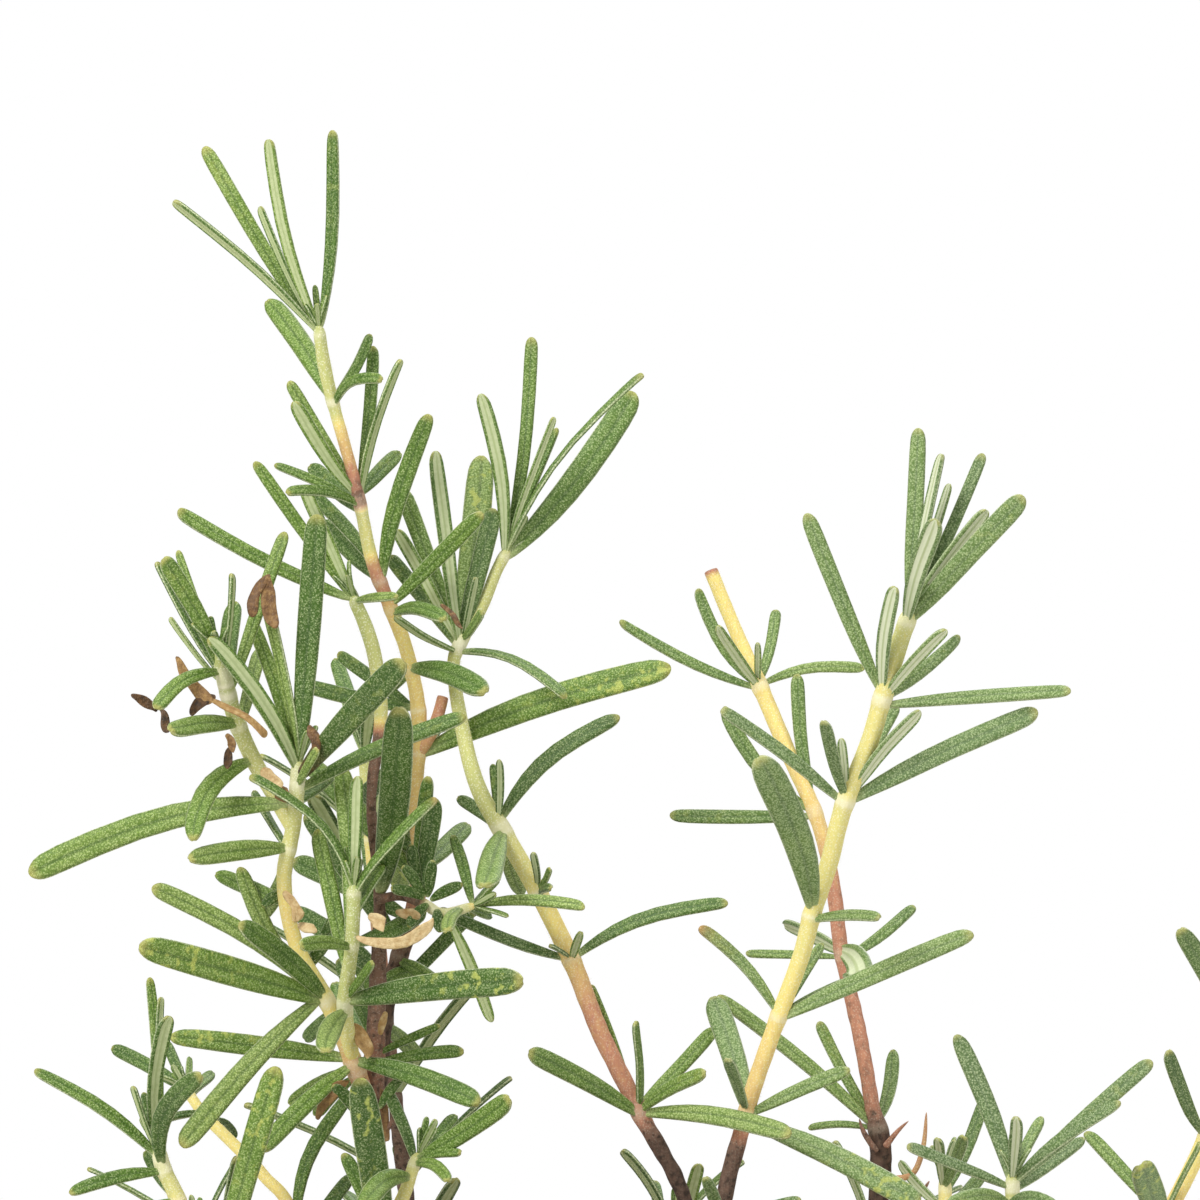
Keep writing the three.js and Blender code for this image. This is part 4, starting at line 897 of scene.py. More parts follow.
# Shares of a blade's length: where it isn't twisted, and from where it is crumpled in full.
UNTWISTED_AT = 0.3
CRUMPLED_FROM = 0.25
SLOPE_STEP = 0.01


def layered(names):
    """An empty mesh that holds a value of each name at every point."""
    bm = bmesh.new()
    for name in names:
        bm.verts.layers.float.new(name)
    return bm


def tube(sides, spans):
    """A closed tube of radius 1 from 0 to 1 along Z, in equal spans."""
    bm = bmesh.new()
    bmesh.ops.create_cone(bm, cap_ends=True, segments=sides, radius1=1, radius2=1, depth=1)
    bmesh.ops.translate(bm, vec=(0, 0, 0.5), verts=bm.verts)
    long_edges = [e for e in bm.edges if abs(e.verts[0].co.z - e.verts[1].co.z) > 0.5]
    bmesh.ops.subdivide_edges(bm, edges=long_edges, cuts=spans - 1, use_grid_fill=True)
    return bm


def join(bm, part):
    """Adds one mesh's faces to another and frees the first."""
    mesh = bpy.data.meshes.new("part")
    part.to_mesh(mesh)
    part.free()
    bm.from_mesh(mesh)
    bpy.data.meshes.remove(mesh)


def leaf_template():
    """A blade's mesh before it is placed: the section's shares in X and Y, its station in Z."""
    spans = len(LEAF_STATIONS) - 1
    bm = tube(len(LEAF_SECTION), spans)
    across, _, upper = [bm.verts.layers.float.new(name) for name in LEAF_LAYERS][:3]
    for vert in bm.verts:
        turn = (math.pi / 2 - math.atan2(vert.co.y, vert.co.x)) % (2 * math.pi)
        x, z = LEAF_SECTION[round(turn / (2 * math.pi) * len(LEAF_SECTION)) % len(LEAF_SECTION)]
        vert[across] = x
        vert[upper] = 1 if z > 0.1 or abs(x) > 0.6 else 0
        vert.co = Vector((x, z, LEAF_STATIONS[round(vert.co.z * spans)]))
    mesh = bpy.data.meshes.new("leaf_template")
    bm.to_mesh(mesh)
    bm.free()
    return mesh


def add_blade(bm, template, blade, looks):
    """One blade on its own frame, with its tone, painted shade and marks written to the attributes."""
    bm.verts.ensure_lookup_table()
    before = len(bm.verts)
    bm.from_mesh(template)
    bm.verts.ensure_lookup_table()
    layers = bm.verts.layers.float
    thick = HALF_THICK + THICK_PER_WIDTH * blade["width"]
    tip = TIP_ROUND * blade["width"] / (blade["tip"] - blade["base"]).length
    for vert in bm.verts[before:]:
        x, z, station = vert.co
        t = station if station < 1 else 1 - tip * (2 - station)
        end = math.sqrt(1 - max(station - 1, 0) ** 2)
        at = blade_point(blade, t)
        along = (blade_point(blade, t + SLOPE_STEP) - blade_point(blade, t - SLOPE_STEP)).normalized()
        upper = (blade["upper"] - along * blade["upper"].dot(along)).normalized()
        side = upper.cross(along)
        turn = looks["twist"] * (t - UNTWISTED_AT)
        upper, side = (upper * math.cos(turn) + side * math.sin(turn),
                       side * math.cos(turn) - upper * math.sin(turn))
        half = widening(t) * end * blade["width"] / 2
        place = at + side * (half * x) + upper * (min(thick, half) * z * looks["thick"])
        wave = noise.noise_vector(place * WAVE_SCALE) * (WAVE * t)
        depth = looks["crumple"] * min(t / CRUMPLED_FROM, 1)
        vert.co = (place + wave + noise.noise_vector(place * CRUMPLE_SCALE) * depth) * MM
        vert[layers["along"]] = t
        for name in ("tint", "blotch", "bloom"):
            vert[layers[name]] = looks[name]
        dry = max(t - looks["dry_from"], looks["dry_to"] - t)
        vert[layers["dry"]] = min(max(dry / DRY_FADE, 0), 1)


# Ages along each stem: (height, age), from 0, green and felted, to 1, dark bark.
AGES = {
    "tall_left_shoot": [
        [(90, 1), (165, 0.95), (174, 0.8), (179, 0.5), (196, 0.4), (210, 0.33), (214, 0.42), (216, 0.6),
         (219.5, 0.58), (221.3, 0.16), (226, 0.14), (227, 0.74), (229.5, 0.7), (233, 0.5), (236.5, 0.38),
         (238.5, 0.1), (250, 0.02)],
        [(190, 0.5), (204, 0.62)],
    ],
    "middle_shoot": [
        [(90, 1), (147, 0.95), (150, 0.66), (164, 0.58), (169, 0.44), (173, 0.34), (180, 0.2),
         (190, 0.08), (222, 0.08)],
    ],
    "right_shoot": [
        [(90, 1), (146, 0.92), (150, 0.46), (160, 0.36), (172, 0.22), (190, 0.2), (203, 0.2), (215, 0.1)],
    ],
    "cut_shoot": [
        [(90, 1), (147, 0.95), (151, 0.66), (178, 0.64), (186, 0.42), (196, 0.34), (218, 0.3),
         (218.8, 0.75)],
    ],
    "front_left_shoot": [
        [(90, 1), (140, 0.95), (150, 0.85), (158, 0.72), (161, 0.8), (172, 0.85), (198, 0.8),
         (200.5, 0.14), (216, 0)],
        [(150, 0.7), (158, 0.5), (166, 0.22), (176, 0.34), (183, 0.14), (197, 0.02)],
        [(157, 0.3), (165, 0.05), (180, 0)],
        [(184, 0.2), (192, 0.1), (209, 0)],
        [(175.5, 0.1), (176.9, 0.15), (177.2, 0.8), (178.5, 0.85)],
    ],
    "low_left_shoot": [[(90, 0.9), (130, 0.6), (140, 0.2), (148, 0.05)]],
    "yellow_stemmed_shoot": [[(90, 0.8), (128, 0.45), (138, 0.32), (155, 0.24)]],
    "low_front_shoot": [[(90, 0.9), (128, 0.6), (138, 0.25), (147, 0.1)]],
    "low_right_shoot": [[(90, 0.9), (128, 0.5), (138, 0.15), (144, 0.05)]],
    "short_right_shoot": [[(90, 0.9), (128, 0.5), (144, 0.12)]],
    "edge_shoot": [[(90, 0.9), (130, 0.5), (150, 0.2), (163, 0.08)]],
    "back_left_shoot": [[(90, 1), (150, 0.9), (172, 0.6), (184, 0.25), (196, 0.05)]],
}
ROUND_AGES = [[(90, 0.95), (110, 0.7), (126, 0.35), (140, 0.1)]]
STEM_SIDES = 10
STATION_STEP = 0.6
# Two blades with feet this close make a pair, with a ring round the stem: its half height, how
# far it swells, and how much age hides it.
PAIR_GAP = 1.2
RING_HALF = 0.8
RING_SWELL = 0.14
RING_FADE = 0.7
# How square a young stem is, how lumpy an old one, and the rounding of its top.
SQUARE = 0.05
LUMP = 0.16
LUMP_SCALE = 0.7
END_STATIONS = 4
END_TAPER = 0.96
# The most that a leaf is twisted, waved and crumpled.
TWIST = 0.35
WAVE = 0.4
WAVE_SCALE = 0.22
CRUMPLE = 0.12
CRUMPLE_SCALE = 0.55
LOOKS_SEED = 7
EXTRA_SEED = 11
DEAD_SEED = 4
NOISE_SEED = 5


def between_marks(marks, z):
    """The age at a height, from marks that rise."""
    for (z0, a0), (z1, a1) in zip(marks, marks[1:]):
        if z <= z1:
            return a0 + (a1 - a0) * min(max((z - z0) / (z1 - z0), 0), 1)
    return marks[-1][1]


def smooth_path(path):
    """The stem's corners joined by a curve, with a station every step: (place, radius)."""
    at = [corner["at"] for corner in path]
    radii = [corner["radius"] for corner in path]
    places = []
    for i in range(len(path) - 1):
        before = at[max(i - 1, 0)]
        after = at[min(i + 2, len(at) - 1)]
        leave = (at[i + 1] - before) * 0.5
        arrive = (after - at[i]) * 0.5
        steps = math.ceil((at[i + 1] - at[i]).length / STATION_STEP)
        for j in range(steps):
            t = j / steps
            place = (at[i] * (2 * t**3 - 3 * t**2 + 1) + leave * (t**3 - 2 * t**2 + t)
                     + at[i + 1] * (3 * t**2 - 2 * t**3) + arrive * (t**3 - t**2))
            places.append((place, radii[i] + (radii[i + 1] - radii[i]) * t))
    places.append((at[-1], radii[-1]))
    return places


def add_stem(bm, path, marks, pairs, blunt=False):
    """A tube along the path: squarish and even when young, ridged and lumpy when old."""
    places = smooth_path(path)
    spans = len(places) - 1
    stem = tube(STEM_SIDES, spans)
    age_layer = stem.verts.layers.float.new("age")
    ring_layer = stem.verts.layers.float.new("ring")
    for vert in stem.verts:
        i = round(vert.co.z * spans)
        turn = math.atan2(vert.co.y, vert.co.x)
        place, radius = places[i]
        before, after = places[max(i - 1, 0)][0], places[min(i + 1, spans)][0]
        along = (after - before).normalized()
        age = between_marks(marks, place.z)
        near = min((abs(place.z - z) for z in pairs), default=RING_HALF)
        ring = max(1 - near / RING_HALF, 0)
        out = beside(along, turn)
        lump = noise.noise(Vector((place + out * radius) * LUMP_SCALE))
        square = SQUARE * (1 - age) * math.cos(4 * turn)
        share = 1 + square + RING_SWELL * ring + LUMP * age * lump
        if not blunt:
            close = 1 - min((spans - i) / END_STATIONS, 1)
            share *= math.sqrt(1 - END_TAPER * close**2)
            ring *= 1 - close
        vert.co = (place + out * (radius * share)) * MM
        vert[age_layer] = age
        vert[ring_layer] = ring * (1 - age * RING_FADE)
    join(bm, stem)


# Blades that differ from the rest, by the tips that the rows give them.
BLOTCHED = {
    (-57.4, 171.6), (9, 206.3), (-9.8, 167.3), (-53.8, 160.3), (40, 139.4), (-14.8, 233.2),
    (-30.3, 154.8), (-40.6, 156.6), (67.6, 144.4), (-25.4, 178.7),
}
# One blade in five of the rest is faintly blotched.
FAINT_BLOTCH = 0.25
BLOTCH_SHARE = 0.2
TURNED_OVER = {(-48.9, 210.3)}
# From which share of its length a blade is dry to the tip, and to which it is dry from the foot.
DRY_TIPS = {(12.4, 174): 0.88, (-20.3, 190.1): 0.93}
DRY_FEET = {(-24.6, 207.4): 0.2}
ALL_DRY = -1
NO_DRY_TIP = 2
NO_DRY_FOOT = -1
# How dark and how light a shoot's blades are, from 0 to 1, and single blades of their own. This is partly
# the blades' own tone and partly painted shade: shoots at the back and in the thick of the plant, and
# single low or inner blades, are made darker where shade falls on them.
TONES_AND_PAINTED_SHADE = {
    "tall_left_shoot": (0.1, 0.75), "middle_shoot": (0.1, 0.75), "right_shoot": (0.15, 0.65),
    "cut_shoot": (0.35, 0.8), "front_left_shoot": (0.3, 1), "back_left_shoot": (0, 0.4),
}
OTHER_TONES_AND_PAINTED_SHADE = (0.1, 0.8)
OWN_TONES_AND_PAINTED_SHADE = {
    (-24.6, 207.4): 0, (-25.2, 201.6): 0.1, (-17.6, 190.1): 0, (-20.5, 190.6): 0.1,
    (-14.8, 233.2): 0.8, (9, 206.3): 0.6, (23.8, 148.2): 0.9, (-25.4, 178.7): 0.8,
    (-9.8, 167.3): 0.15, (-30.3, 154.8): 0, (-57.4, 171.6): 0.65, (-35.3, 225.8): 0.2,
    (19.8, 195.2): 0.45, (-8.4, 247.9): 0.55,
}
# How thick the white bloom on the blades of a shoot is.
BLOOM = {
    "right_shoot": 1, "cut_shoot": 0.6, "low_right_shoot": 0.9, "short_right_shoot": 0.6,
    "edge_shoot": 0.5, "back_right_shoot": 0.5, "far_right_shoot": 0.5, "middle_shoot": 0.25,
}

# Dead leaves and flakes that hang among the rest:
# (foot x, foot z, tip x, tip z, depth, lean, width, bow, face, how light).
DEAD_BLADES = [
    (-30.6, 173, -20.8, 175.4, -12.8, -1, 2, -2.4, 15, 1),
    (-29, 175.6, -27, 173.4, -12.6, -1, 2.2, 0.3, 0, 1),
    (-37.8, 174.4, -35.4, 173, -9.6, -1, 2, 0.3, 20, 1),
    (-39.6, 178.6, -37.8, 174.6, -9.8, -1, 1.7, 0.4, 0, 0.9),
    (-25.6, 176, -22.6, 175.4, -3, -1, 1.8, 0.3, 10, 0.9),
    (-42.4, 193.8, -40, 191.6, -10, -1, 1.8, 0.2, 10, 0.9),
    (-40.6, 192, -39.6, 189.6, -10, -1, 1.6, 0.2, 10, 0.3),
    (-53, 208, -48.6, 202.2, -14, 0, 1.5, -0.5, 10, 0.5),
    (-49, 202.6, -41.5, 198, -14, 1, 1.4, 0.6, 40, 0.7),
    (-55.4, 201, -58.5, 202.6, -14, -1, 1.3, 0.6, 20, 0),
    (-55, 201.4, -54.3, 198.4, -14, -1, 1.2, 0.2, 0, 0),
    (-48, 202.9, -51.8, 201, -13.6, -1, 1.6, 0.4, 20, 0),
    (-46.8, 198.2, -45.8, 196, -12, -1, 1.8, 0.4, 30, 0.4),
    (-46.2, 196.6, -46.6, 193.6, -12, -1, 1.1, 0.4, 30, 0),
    (-41.2, 218.2, -43.4, 213, -11, -2, 2.2, 0.8, 30, 0.2),
    (-41.4, 218, -40.6, 211.6, -11.6, -1, 2, -0.5, 10, 0.3),
    (-36.4, 199.4, -36, 195, -12, -1, 1.6, 0.5, 20, 0.2),
    (-35.4, 150, -31.3, 155, -4, -1, 1.9, 0.6, 10, 0.4),
    (-31, 162, -29, 157.8, -4.4, -1, 2, 0.5, 0, 0.7),
    (-29.4, 155.4, -27.4, 143, -2, 0, 1.8, -0.6, 10, 0.2),
    (-27.4, 154, -27, 147, -1.6, 0, 1.4, 0.5, 20, 0.3),
    (-20, 214.4, -17.4, 211.6, -3.4, -2, 1.2, 0.6, 20, 0.2),
    (-27.4, 160.6, -26, 163.4, -3, -1, 1.4, 0.4, 0, 0.8),
]
# Small dark leaves in the densest part, in the same form.
SMALL_BLADES = [
    (-22, 177.8, -24.8, 181.6, -1.6, -2, 1.8, 0.3, 10, 0.1),
    (-22, 177.6, -26.2, 178.8, -1.6, -3, 1.7, 0.4, 10, 0.1),
    (-21.6, 177.8, -20.8, 182.4, -1.6, -2, 1.7, 0, 5, 0),
    (-21.2, 177.4, -17.2, 179.4, -1.6, -2, 1.8, 0.3, 10, 0.1),
    (-21.4, 177, -24.2, 174.2, -2, -2, 1.7, 0.3, 10, 0.1),
    (-20.4, 176.4, -20, 173.4, -2.6, -1, 1.9, 0, 5, 0),
    (-22.6, 178.4, -23.6, 184.4, -0.6, -1, 1.9, 0, 5, 0),
    (-35, 172.6, -32.4, 176.4, -3, -1, 1.7, 0, 5, 0.1),
    (-37, 168.4, -33.6, 172.8, -3, -1, 1.9, 0.3, 5, 0),
    (-39.4, 178.4, -42.2, 176.6, -6, -1, 1.8, 0.3, 10, 0.2),
    (-30.6, 150.8, -33.2, 154.4, -3, -2, 1.8, 0.3, 10, 0.1),
    (-27.6, 151.4, -24.6, 155.2, -2, -2, 1.7, 0.3, 10, 0.2),
]
DEAD_TWIST = 1.6
DEAD_THICK = 0.4
DEAD_CRUMPLE = 0.8
# Dry stubs and stalks: corners (x, z, depth, radius), and their age.
DEAD_STALKS = [
    ([(35.6, 146.6, 13.6, 0.5), (37.2, 148.6, 13, 0.3), (38.6, 149.9, 12.6, 0.12)], 0.7),
    ([(34.6, 146, 13.4, 0.5), (33, 148.4, 12.8, 0.35), (32.4, 150.2, 12.6, 0.15)], 0.8),
    ([(36, 142.6, 14, 0.5), (39, 143.2, 12.6, 0.4), (40.4, 146.6, 12, 0.35), (40.8, 151, 12, 0.15)], 0.55),
    ([(35.6, 138.6, 14, 0.5), (39, 139.6, 13, 0.4), (41.2, 142.4, 12.6, 0.2)], 0.75),
    ([(-28.4, 147.4, -0.4, 0.5), (-26.2, 149.4, -1.6, 0.35), (-25.6, 151.6, -2, 0.15)], 0.8),
]
# Tufts of young leaves at the ends of stems and in the forks of the round shoots. A pair of
# numbers is drawn from, as for the round shoots.
TUFT_BLADES = 4
TUFT_LENGTH = (3.2, 2.6)
TUFT_WIDTH = 1.1
TUFT_SPREAD = (0.25, 0.35)
TUFT_TURN = 0.4
TUFT_SINK = 0.4
TUFT_BOW = 0.2
BARE_ENDS = {("cut_shoot", 0), ("tall_left_shoot", 1)}
FORK_LENGTH = (3.5, 3)
FORK_LEAN = 0.5
FORK_SPREAD = 0.2
FORK_BOW = 0.3
# Down on the young stems.
DOWN_PER_MM = 14
DOWN_LENGTH = (0.16, 0.2)
DOWN_RADIUS = 0.018
DOWN_TO_AGE = 0.55

leaf_green = leaf_paint()
stem_bark = stem_paint()
template = leaf_template()
# Vector noise follows the clock unless it has a seed.
noise.seed_set(NOISE_SEED)
looks_draw = Draw(LOOKS_SEED)
extra_draw = Draw(EXTRA_SEED)
dead_draw = Draw(DEAD_SEED)


def young_blades(node, shoot):
    """Small leaves at the stem ends, and, on the round shoots, in the forks of the pairs."""
    young = []
    for i, path in enumerate(shoot["paths"]):
        if (node, i) not in BARE_ENDS:
            end, axis = path[-1]["at"], (path[-1]["at"] - path[-2]["at"]).normalized()
            base = end - axis * TUFT_SINK
            for j in range(TUFT_BLADES):
                turn = 2 * math.pi * (j + TUFT_TURN * extra_draw()) / TUFT_BLADES
                spread = extra_draw.over(*TUFT_SPREAD)
                long = extra_draw.over(*TUFT_LENGTH)
                young.append(sprout(base, axis, turn, spread, long, TUFT_WIDTH, TUFT_BOW))
    if node in ROUND_SHOOTS:
        for blade in shoot["blades"]:
            along = (blade["tip"] - blade["base"]).normalized()
            axis = (blade["up"] + along * FORK_LEAN).normalized()
            long = extra_draw.over(*FORK_LENGTH)
            turn = 2 * math.pi * extra_draw()
            young.append(sprout(blade["base"], axis, turn, FORK_SPREAD, long, TUFT_WIDTH, FORK_BOW))
    return young


def add_down(bm, path, marks):
    """Short white hairs that stand off a young stem."""
    hairs = bmesh.new()
    places = smooth_path(path)
    for (place, radius), (after, _) in zip(places, places[1:]):
        if place.z < SOIL_TOP or between_marks(marks, place.z) > DOWN_TO_AGE:
            continue
        axis = (after - place).normalized()
        for _ in range(round(DOWN_PER_MM * (after - place).length)):
            out = beside(axis, 2 * math.pi * extra_draw())
            long = extra_draw.over(*DOWN_LENGTH)
            root = place.lerp(after, extra_draw()) + out * (radius + long / 2)
            tilt = (out + axis * (extra_draw() - 0.5)).to_track_quat("Z", "X").to_matrix().to_4x4()
            bmesh.ops.create_cone(hairs, cap_ends=True, segments=3, radius1=DOWN_RADIUS * MM, radius2=0,
                                  depth=long * MM, matrix=Matrix.Translation(root * MM) @ tilt)
    join(bm, hairs)


down = bmesh.new()
for node, shoot in shoots.items():
    leaves = layered(LEAF_LAYERS)
    # Each shoot's range of tones is partly painted shade, darker for shoots that lie in shade.
    low, high = TONES_AND_PAINTED_SHADE.get(node, OTHER_TONES_AND_PAINTED_SHADE)
    for blade in shoot["blades"] + young_blades(node, shoot):
        mark = blade["mark"]
        looks = {
            "tint": low + (high - low) * looks_draw(),
            "blotch": 1 if mark in BLOTCHED else FAINT_BLOTCH * (looks_draw() > 1 - BLOTCH_SHARE),
            "dry_from": DRY_TIPS.get(mark, NO_DRY_TIP), "dry_to": DRY_FEET.get(mark, NO_DRY_FOOT),
            "twist": TWIST * (looks_draw() * 2 - 1), "thick": 1, "crumple": CRUMPLE,
            "bloom": BLOOM.get(node, 0),
        }
        looks["tint"] = OWN_TONES_AND_PAINTED_SHADE.get(mark, looks["tint"])
        if mark in TURNED_OVER:
            blade["upper"] = -blade["upper"]
        add_blade(leaves, template, blade, looks)
    piece(f"{node}_leaves", leaves, leaf_green, (node,), levels=1)
    stems = layered(STEM_LAYERS)
    for i, (path, marks) in enumerate(zip(shoot["paths"], AGES.get(node, ROUND_AGES))):
        feet = sorted(blade["base"].z for blade in shoot["blades"] if blade["path"] is path)
        pairs = [(low + high) / 2 for low, high in zip(feet, feet[1:]) if high - low < PAIR_GAP]
        add_stem(stems, path, marks, pairs, (node, i) in BARE_ENDS)
        add_down(down, path, marks)
    piece(f"{node}_stem", stems, stem_bark, (node,), levels=1)
white_down = crumb_paint("white_down", [(0.3, "e2e5c4"), (0.7, "f6f6e6")], 0.8)
piece("stem_down", down, white_down, smooth=False)

for name, rows, dry_from, thick, crumple, twist in (
    ("dead_leaves", DEAD_BLADES, ALL_DRY, DEAD_THICK, DEAD_CRUMPLE, DEAD_TWIST),
    ("small_leaves", SMALL_BLADES, NO_DRY_TIP, 1, CRUMPLE, TWIST),
):
    loose = layered(LEAF_LAYERS)
    for x, z, tip_x, tip_z, depth, lean, width, bow, face, light in rows:
        blade = framed(seen(x, z, depth), seen(tip_x, tip_z, depth + lean), width, bow, face)
        looks = {"tint": light, "blotch": 0, "bloom": 0, "dry_from": dry_from, "dry_to": NO_DRY_FOOT,
                 "thick": thick, "crumple": crumple, "twist": twist * (dead_draw() * 2 - 1)}
        add_blade(loose, template, blade, looks)
    piece(name, loose, leaf_green, levels=1)

stalks = layered(STEM_LAYERS)
for corners, age in DEAD_STALKS:
    add_stem(stalks, seen_path(corners), [(0, age)], [])
piece("dead_stalks", stalks, stem_bark, levels=1)


# Pot and soil ---------------------------------------------------------------------------------

def pot_radius(z):
    """The pot's wall from outside, below the rim."""
    return POT_BASE_RADIUS + (POT_TOP_RADIUS - RIM_STEP - POT_BASE_RADIUS) * z / POT_HEIGHT


def turned(outline, steps):
    """A closed skin spun round Z from its outline, which starts and ends on the axis."""
    bm = bmesh.new()
    verts = [bm.verts.new((r * MM, 0, z * MM)) for r, z in outline]
    edges = [bm.edges.new(pair) for pair in zip(verts, verts[1:])]
    bmesh.ops.spin(bm, geom=[*verts, *edges], cent=(0, 0, 0), axis=(0, 0, 1),
                   angle=2 * math.pi, steps=steps, use_merge=True)
    bmesh.ops.remove_doubles(bm, verts=bm.verts, dist=0.01 * MM)
    bmesh.ops.recalc_face_normals(bm, faces=bm.faces)
    return bm


def drain_hole(bm, x, y):
    """Opens the floor above and below a hole's place and joins the two rims by a wall."""
    centre = Vector((x, y)) * MM
    reach = DRAIN_RADIUS * MM
    gone = [
        face for face in bm.faces
        if abs(face.normal.z) > 0.9 and (face.calc_center_median().xy - centre).length < reach
    ]
    around = {edge for face in gone for edge in face.edges}
    rims = [edge for edge in around if sum(face in gone for face in edge.link_faces) == 1]
    bmesh.ops.delete(bm, geom=gone, context="FACES")
    for vert in {vert for edge in rims for vert in edge.verts}:
        out = (vert.co.xy - centre).normalized() * reach
        vert.co.xy = centre + out
    bmesh.ops.bridge_loops(bm, edges=rims)


# Corners of the pot's skin: (out, up) from the edge of its base, from the rim's lower edge and
# from its upper one, and how far under the rim the wall's last two corners are.
BASE_EDGE = ((-1.4, 0), (-0.5, 0.2), (0, 0.8))
WALL_ENDS = (1.5, 0.4)
RIM_FOOT = ((-0.5, 0), (0, 0.5))
RIM_LIP = ((0, -2.5), (0.5, -1.6), (0.4, -0.6), (-0.6, 0), (-3.2, 0), (-4.1, -0.5), (-4.4, -1.4))
RIM_INSIDE_DROP = 2
# Rings of the floor round a drain hole's place, in hole radii inwards.
FLOOR_RINGS = (1.6, 0.9, 0.45, 0, -0.45, -0.9, -1.6)

rim_low = POT_HEIGHT - RIM_HEIGHT
floor_rings = [DRAIN_RING - DRAIN_RADIUS * share for share in FLOOR_RINGS]
pot_outline = [
    (0, 0), *[(r, 0) for r in floor_rings],
    *[(POT_BASE_RADIUS + out, up) for out, up in BASE_EDGE],
    *[(pot_radius(rim_low - under), rim_low - under) for under in WALL_ENDS],
    *[(pot_radius(rim_low) + RIM_STEP + out, rim_low + up) for out, up in RIM_FOOT],
    *[(POT_TOP_RADIUS + out, POT_HEIGHT + up) for out, up in RIM_LIP],
    (pot_radius(rim_low) - POT_WALL, rim_low - RIM_INSIDE_DROP),
    (pot_radius(POT_FLOOR) - POT_WALL, POT_FLOOR),
    *[(r, POT_FLOOR) for r in reversed(floor_rings)], (0, POT_FLOOR),
]
pot = turned(pot_outline, POT_STEPS)
for i in range(DRAIN_HOLES):
    turn = 2 * math.pi * (i + 0.5) / DRAIN_HOLES
    drain_hole(pot, DRAIN_RING * math.cos(turn), DRAIN_RING * math.sin(turn))
piece("pot_body", pot, pot_paint(), ("pot",))

soil_floor = POT_FLOOR + SOIL_GAP


def soil_radius(z):
    """How far the soil reaches, a small gap inside the pot's wall."""
    return pot_radius(z) - POT_WALL - SOIL_GAP


def soil_height(x, y):
    """The lumpy top of the soil, a little higher in the middle."""
    far = math.hypot(x, y) / soil_radius(SOIL_TOP)
    lumps = noise.fractal(Vector((x, y, 0)) * SOIL_LUMP_SCALE, *SOIL_FRACTAL)
    return SOIL_TOP + SOIL_MOUND * max(1 - far**2, 0) - SOIL_SINK + SOIL_LUMP * lumps


top_rings = [soil_radius(SOIL_TOP) * i / SOIL_RINGS for i in range(SOIL_RINGS, -1, -1)]
shoulder = SOIL_TOP - SOIL_SHOULDER
soil_outline = [
    (0, soil_floor), (soil_radius(soil_floor), soil_floor), (soil_radius(shoulder), shoulder),
    *[(r, SOIL_TOP) for r in top_rings],
]
soil = turned(soil_outline, SOIL_STEPS)
for vert in soil.verts:
    if vert.co.z > (shoulder + SOIL_TOP) / 2 * MM:
        vert.co.z = soil_height(vert.co.x / MM, vert.co.y / MM) * MM
peat = soil_paint()
piece("soil_bed", soil, peat, ("soil",))


# Bits on the soil: how long and how broad one is as a share of its radius, how far it may tilt,
# how far its middle lies above the soil, and how rough it is.
CRUMB_LONG = (1, 0.5)
CRUMB_BROAD = (0.7, 0.3)
CRUMB_TILT = 0.5
CRUMB_RISE = 0.3
CRUMB_ROUGH = 0.22
CRUMB_SCALE = 0.4


def crumbs(name, count, size, flat, material, seed):
    """Small lumps lying half sunk in the soil, clear of the pot's wall."""
    draws = Draw(seed)
    bm = bmesh.new()
    for _ in range(count):
        far = (soil_radius(SOIL_TOP) - size[1]) * math.sqrt(draws())
        turn = 2 * math.pi * draws()
        x, y = far * math.cos(turn), far * math.sin(turn)
        radius = size[0] + (size[1] - size[0]) * draws() ** 2
        spin = Matrix.Rotation(math.pi * draws(), 4, "Z") @ Matrix.Rotation(CRUMB_TILT * draws(), 4, "X")
        long, broad = draws.over(*CRUMB_LONG), draws.over(*CRUMB_BROAD)
        shape = Matrix.Diagonal((long, broad, flat, 1))
        at = Vector((x, y, soil_height(x, y) + radius * flat * CRUMB_RISE))
        made = bmesh.ops.create_icosphere(
            bm, subdivisions=1, radius=radius * MM, matrix=Matrix.Translation(at * MM) @ spin @ shape)
        for vert in made["verts"]:
            vert.co += noise.noise_vector(vert.co * (CRUMB_SCALE / MM)) * (radius * CRUMB_ROUGH * MM)
    piece(name, bm, material, smooth=False)


white_perlite = crumb_paint("white_perlite", [(0.3, "c9c5ba"), (0.7, "f0ede4")], 0.85)
bark_chip = crumb_paint("bark_chip", [(0.3, "3b2a1c"), (0.6, "6e4c30")], 0.8)
# (name, how many, least and greatest radius, how flat, material, seed)
BITS = [
    ("soil_crumbs", 520, (0.5, 2.2), 0.75, peat, 31),
    ("perlite", 70, (0.5, 1.6), 0.85, white_perlite, 57),
    ("bark_chips", 90, (0.9, 3.2), 0.3, bark_chip, 83),
]
for bits in BITS:
    crumbs(*bits)


# Stage, camera and light ----------------------------------------------------------------------

FLOOR_RADIUS = 1.2
FLOOR_SIDES = 96
# How bright the white room lights the plant, where the camera sees it as full white.
AMBIENT = 0.38

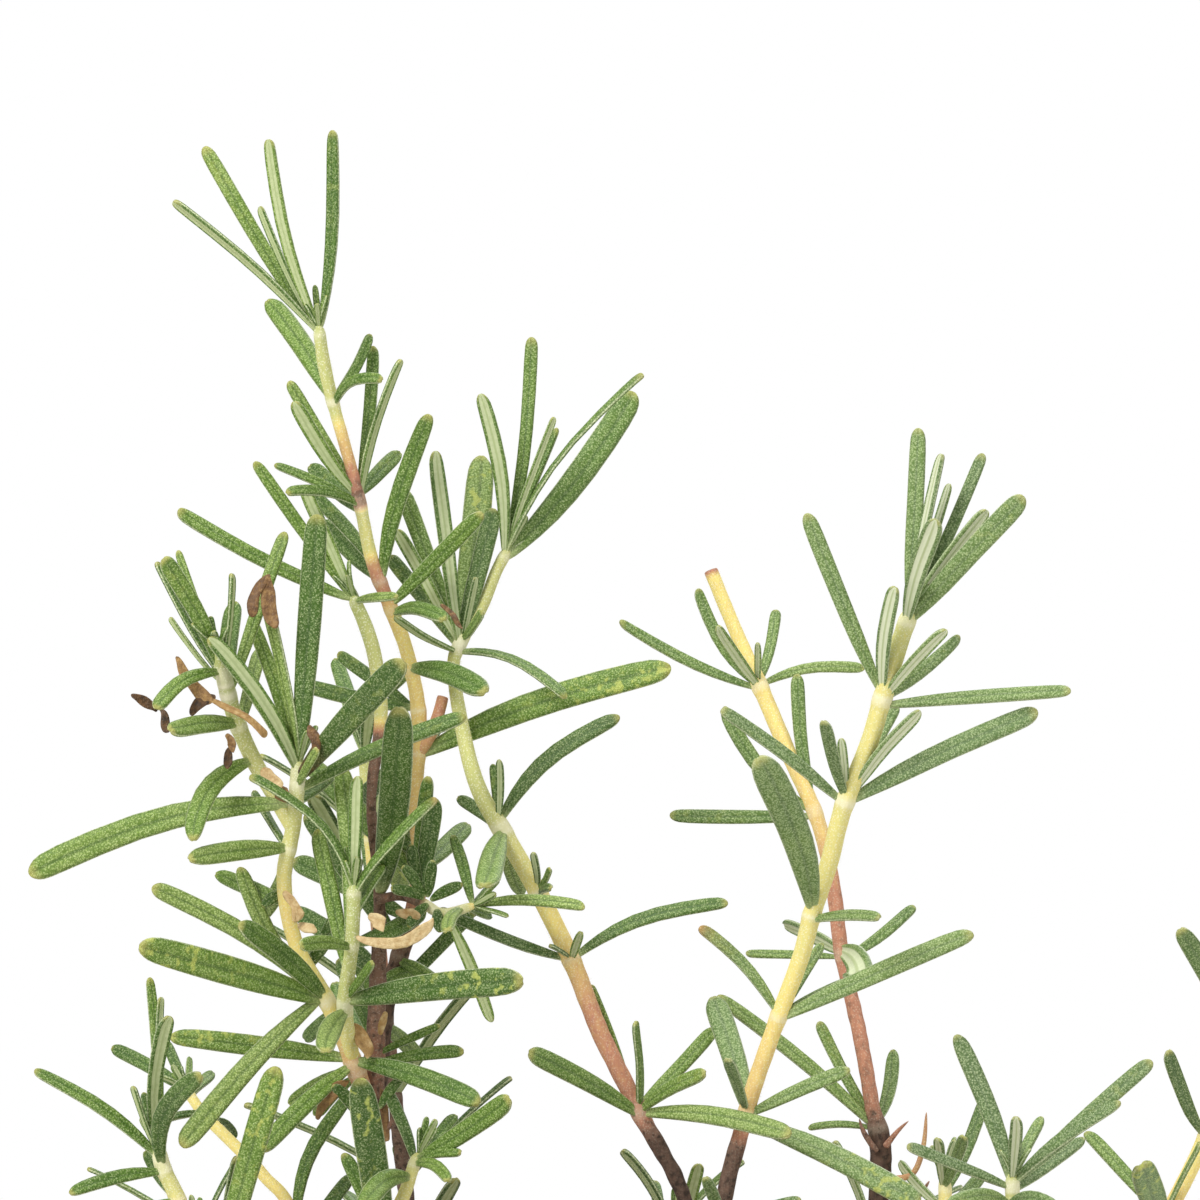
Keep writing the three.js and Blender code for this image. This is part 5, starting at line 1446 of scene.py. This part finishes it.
disc = bmesh.new()
bmesh.ops.create_circle(disc, cap_ends=True, segments=FLOOR_SIDES, radius=FLOOR_RADIUS)
mesh = bpy.data.meshes.new("floor")
disc.to_mesh(mesh)
disc.free()
mesh.materials.append(Paint("pale_floor").finish(hexed("e8e6e1"), 0.7))
floor = bpy.data.objects.new("floor", mesh)
bpy.context.scene.collection.objects.link(floor)

eye = bpy.data.cameras.new("front_view")
eye.sensor_width = 36
eye.lens = eye.sensor_width * EYE_DISTANCE / VIEW_WIDTH
camera = bpy.data.objects.new("front_view", eye)
camera.location = Vector((0, -EYE_DISTANCE, EYE_HEIGHT)) * MM
camera.rotation_euler = (math.pi / 2, 0, 0)
bpy.context.scene.collection.objects.link(camera)
bpy.context.scene.camera = camera

# Soft lamps: (name, place in metres, size in metres, watts)
LAMPS = [
    ("key_lamp", (-0.55, -0.7, 0.85), 0.5, 11),
    ("fill_lamp", (0.8, -0.6, 0.45), 0.7, 2.5),
    ("top_lamp", (0.1, 0.1, 1.1), 0.6, 5),
    ("back_lamp", (0.3, 0.8, 0.7), 0.6, 3),
]
aim = Vector((0, 0, 0.19))
for name, place, size, watts in LAMPS:
    lamp = bpy.data.lights.new(name, "AREA")
    lamp.size = size
    lamp.energy = watts
    thing = bpy.data.objects.new(name, lamp)
    thing.location = place
    thing.rotation_euler = (aim - Vector(place)).to_track_quat("-Z", "Y").to_euler()
    bpy.context.scene.collection.objects.link(thing)

# White behind the plant, and a dimmer white as the light of the room.
world = bpy.data.worlds.new("white_room")
world.use_nodes = True
bpy.context.scene.world = world
nodes, links = world.node_tree.nodes, world.node_tree.links
ambient = nodes["Background"]
ambient.inputs["Strength"].default_value = AMBIENT
backdrop = nodes.new("ShaderNodeBackground")
ambient.inputs["Color"].default_value = backdrop.inputs["Color"].default_value = (1, 1, 1, 1)
rays = nodes.new("ShaderNodeLightPath")
either = nodes.new("ShaderNodeMixShader")
links.new(rays.outputs["Is Camera Ray"], either.inputs["Fac"])
links.new(ambient.outputs["Background"], either.inputs[1])
links.new(backdrop.outputs["Background"], either.inputs[2])
links.new(either.outputs["Shader"], nodes["World Output"].inputs["Surface"])
bpy.context.scene.view_settings.view_transform = "Standard"
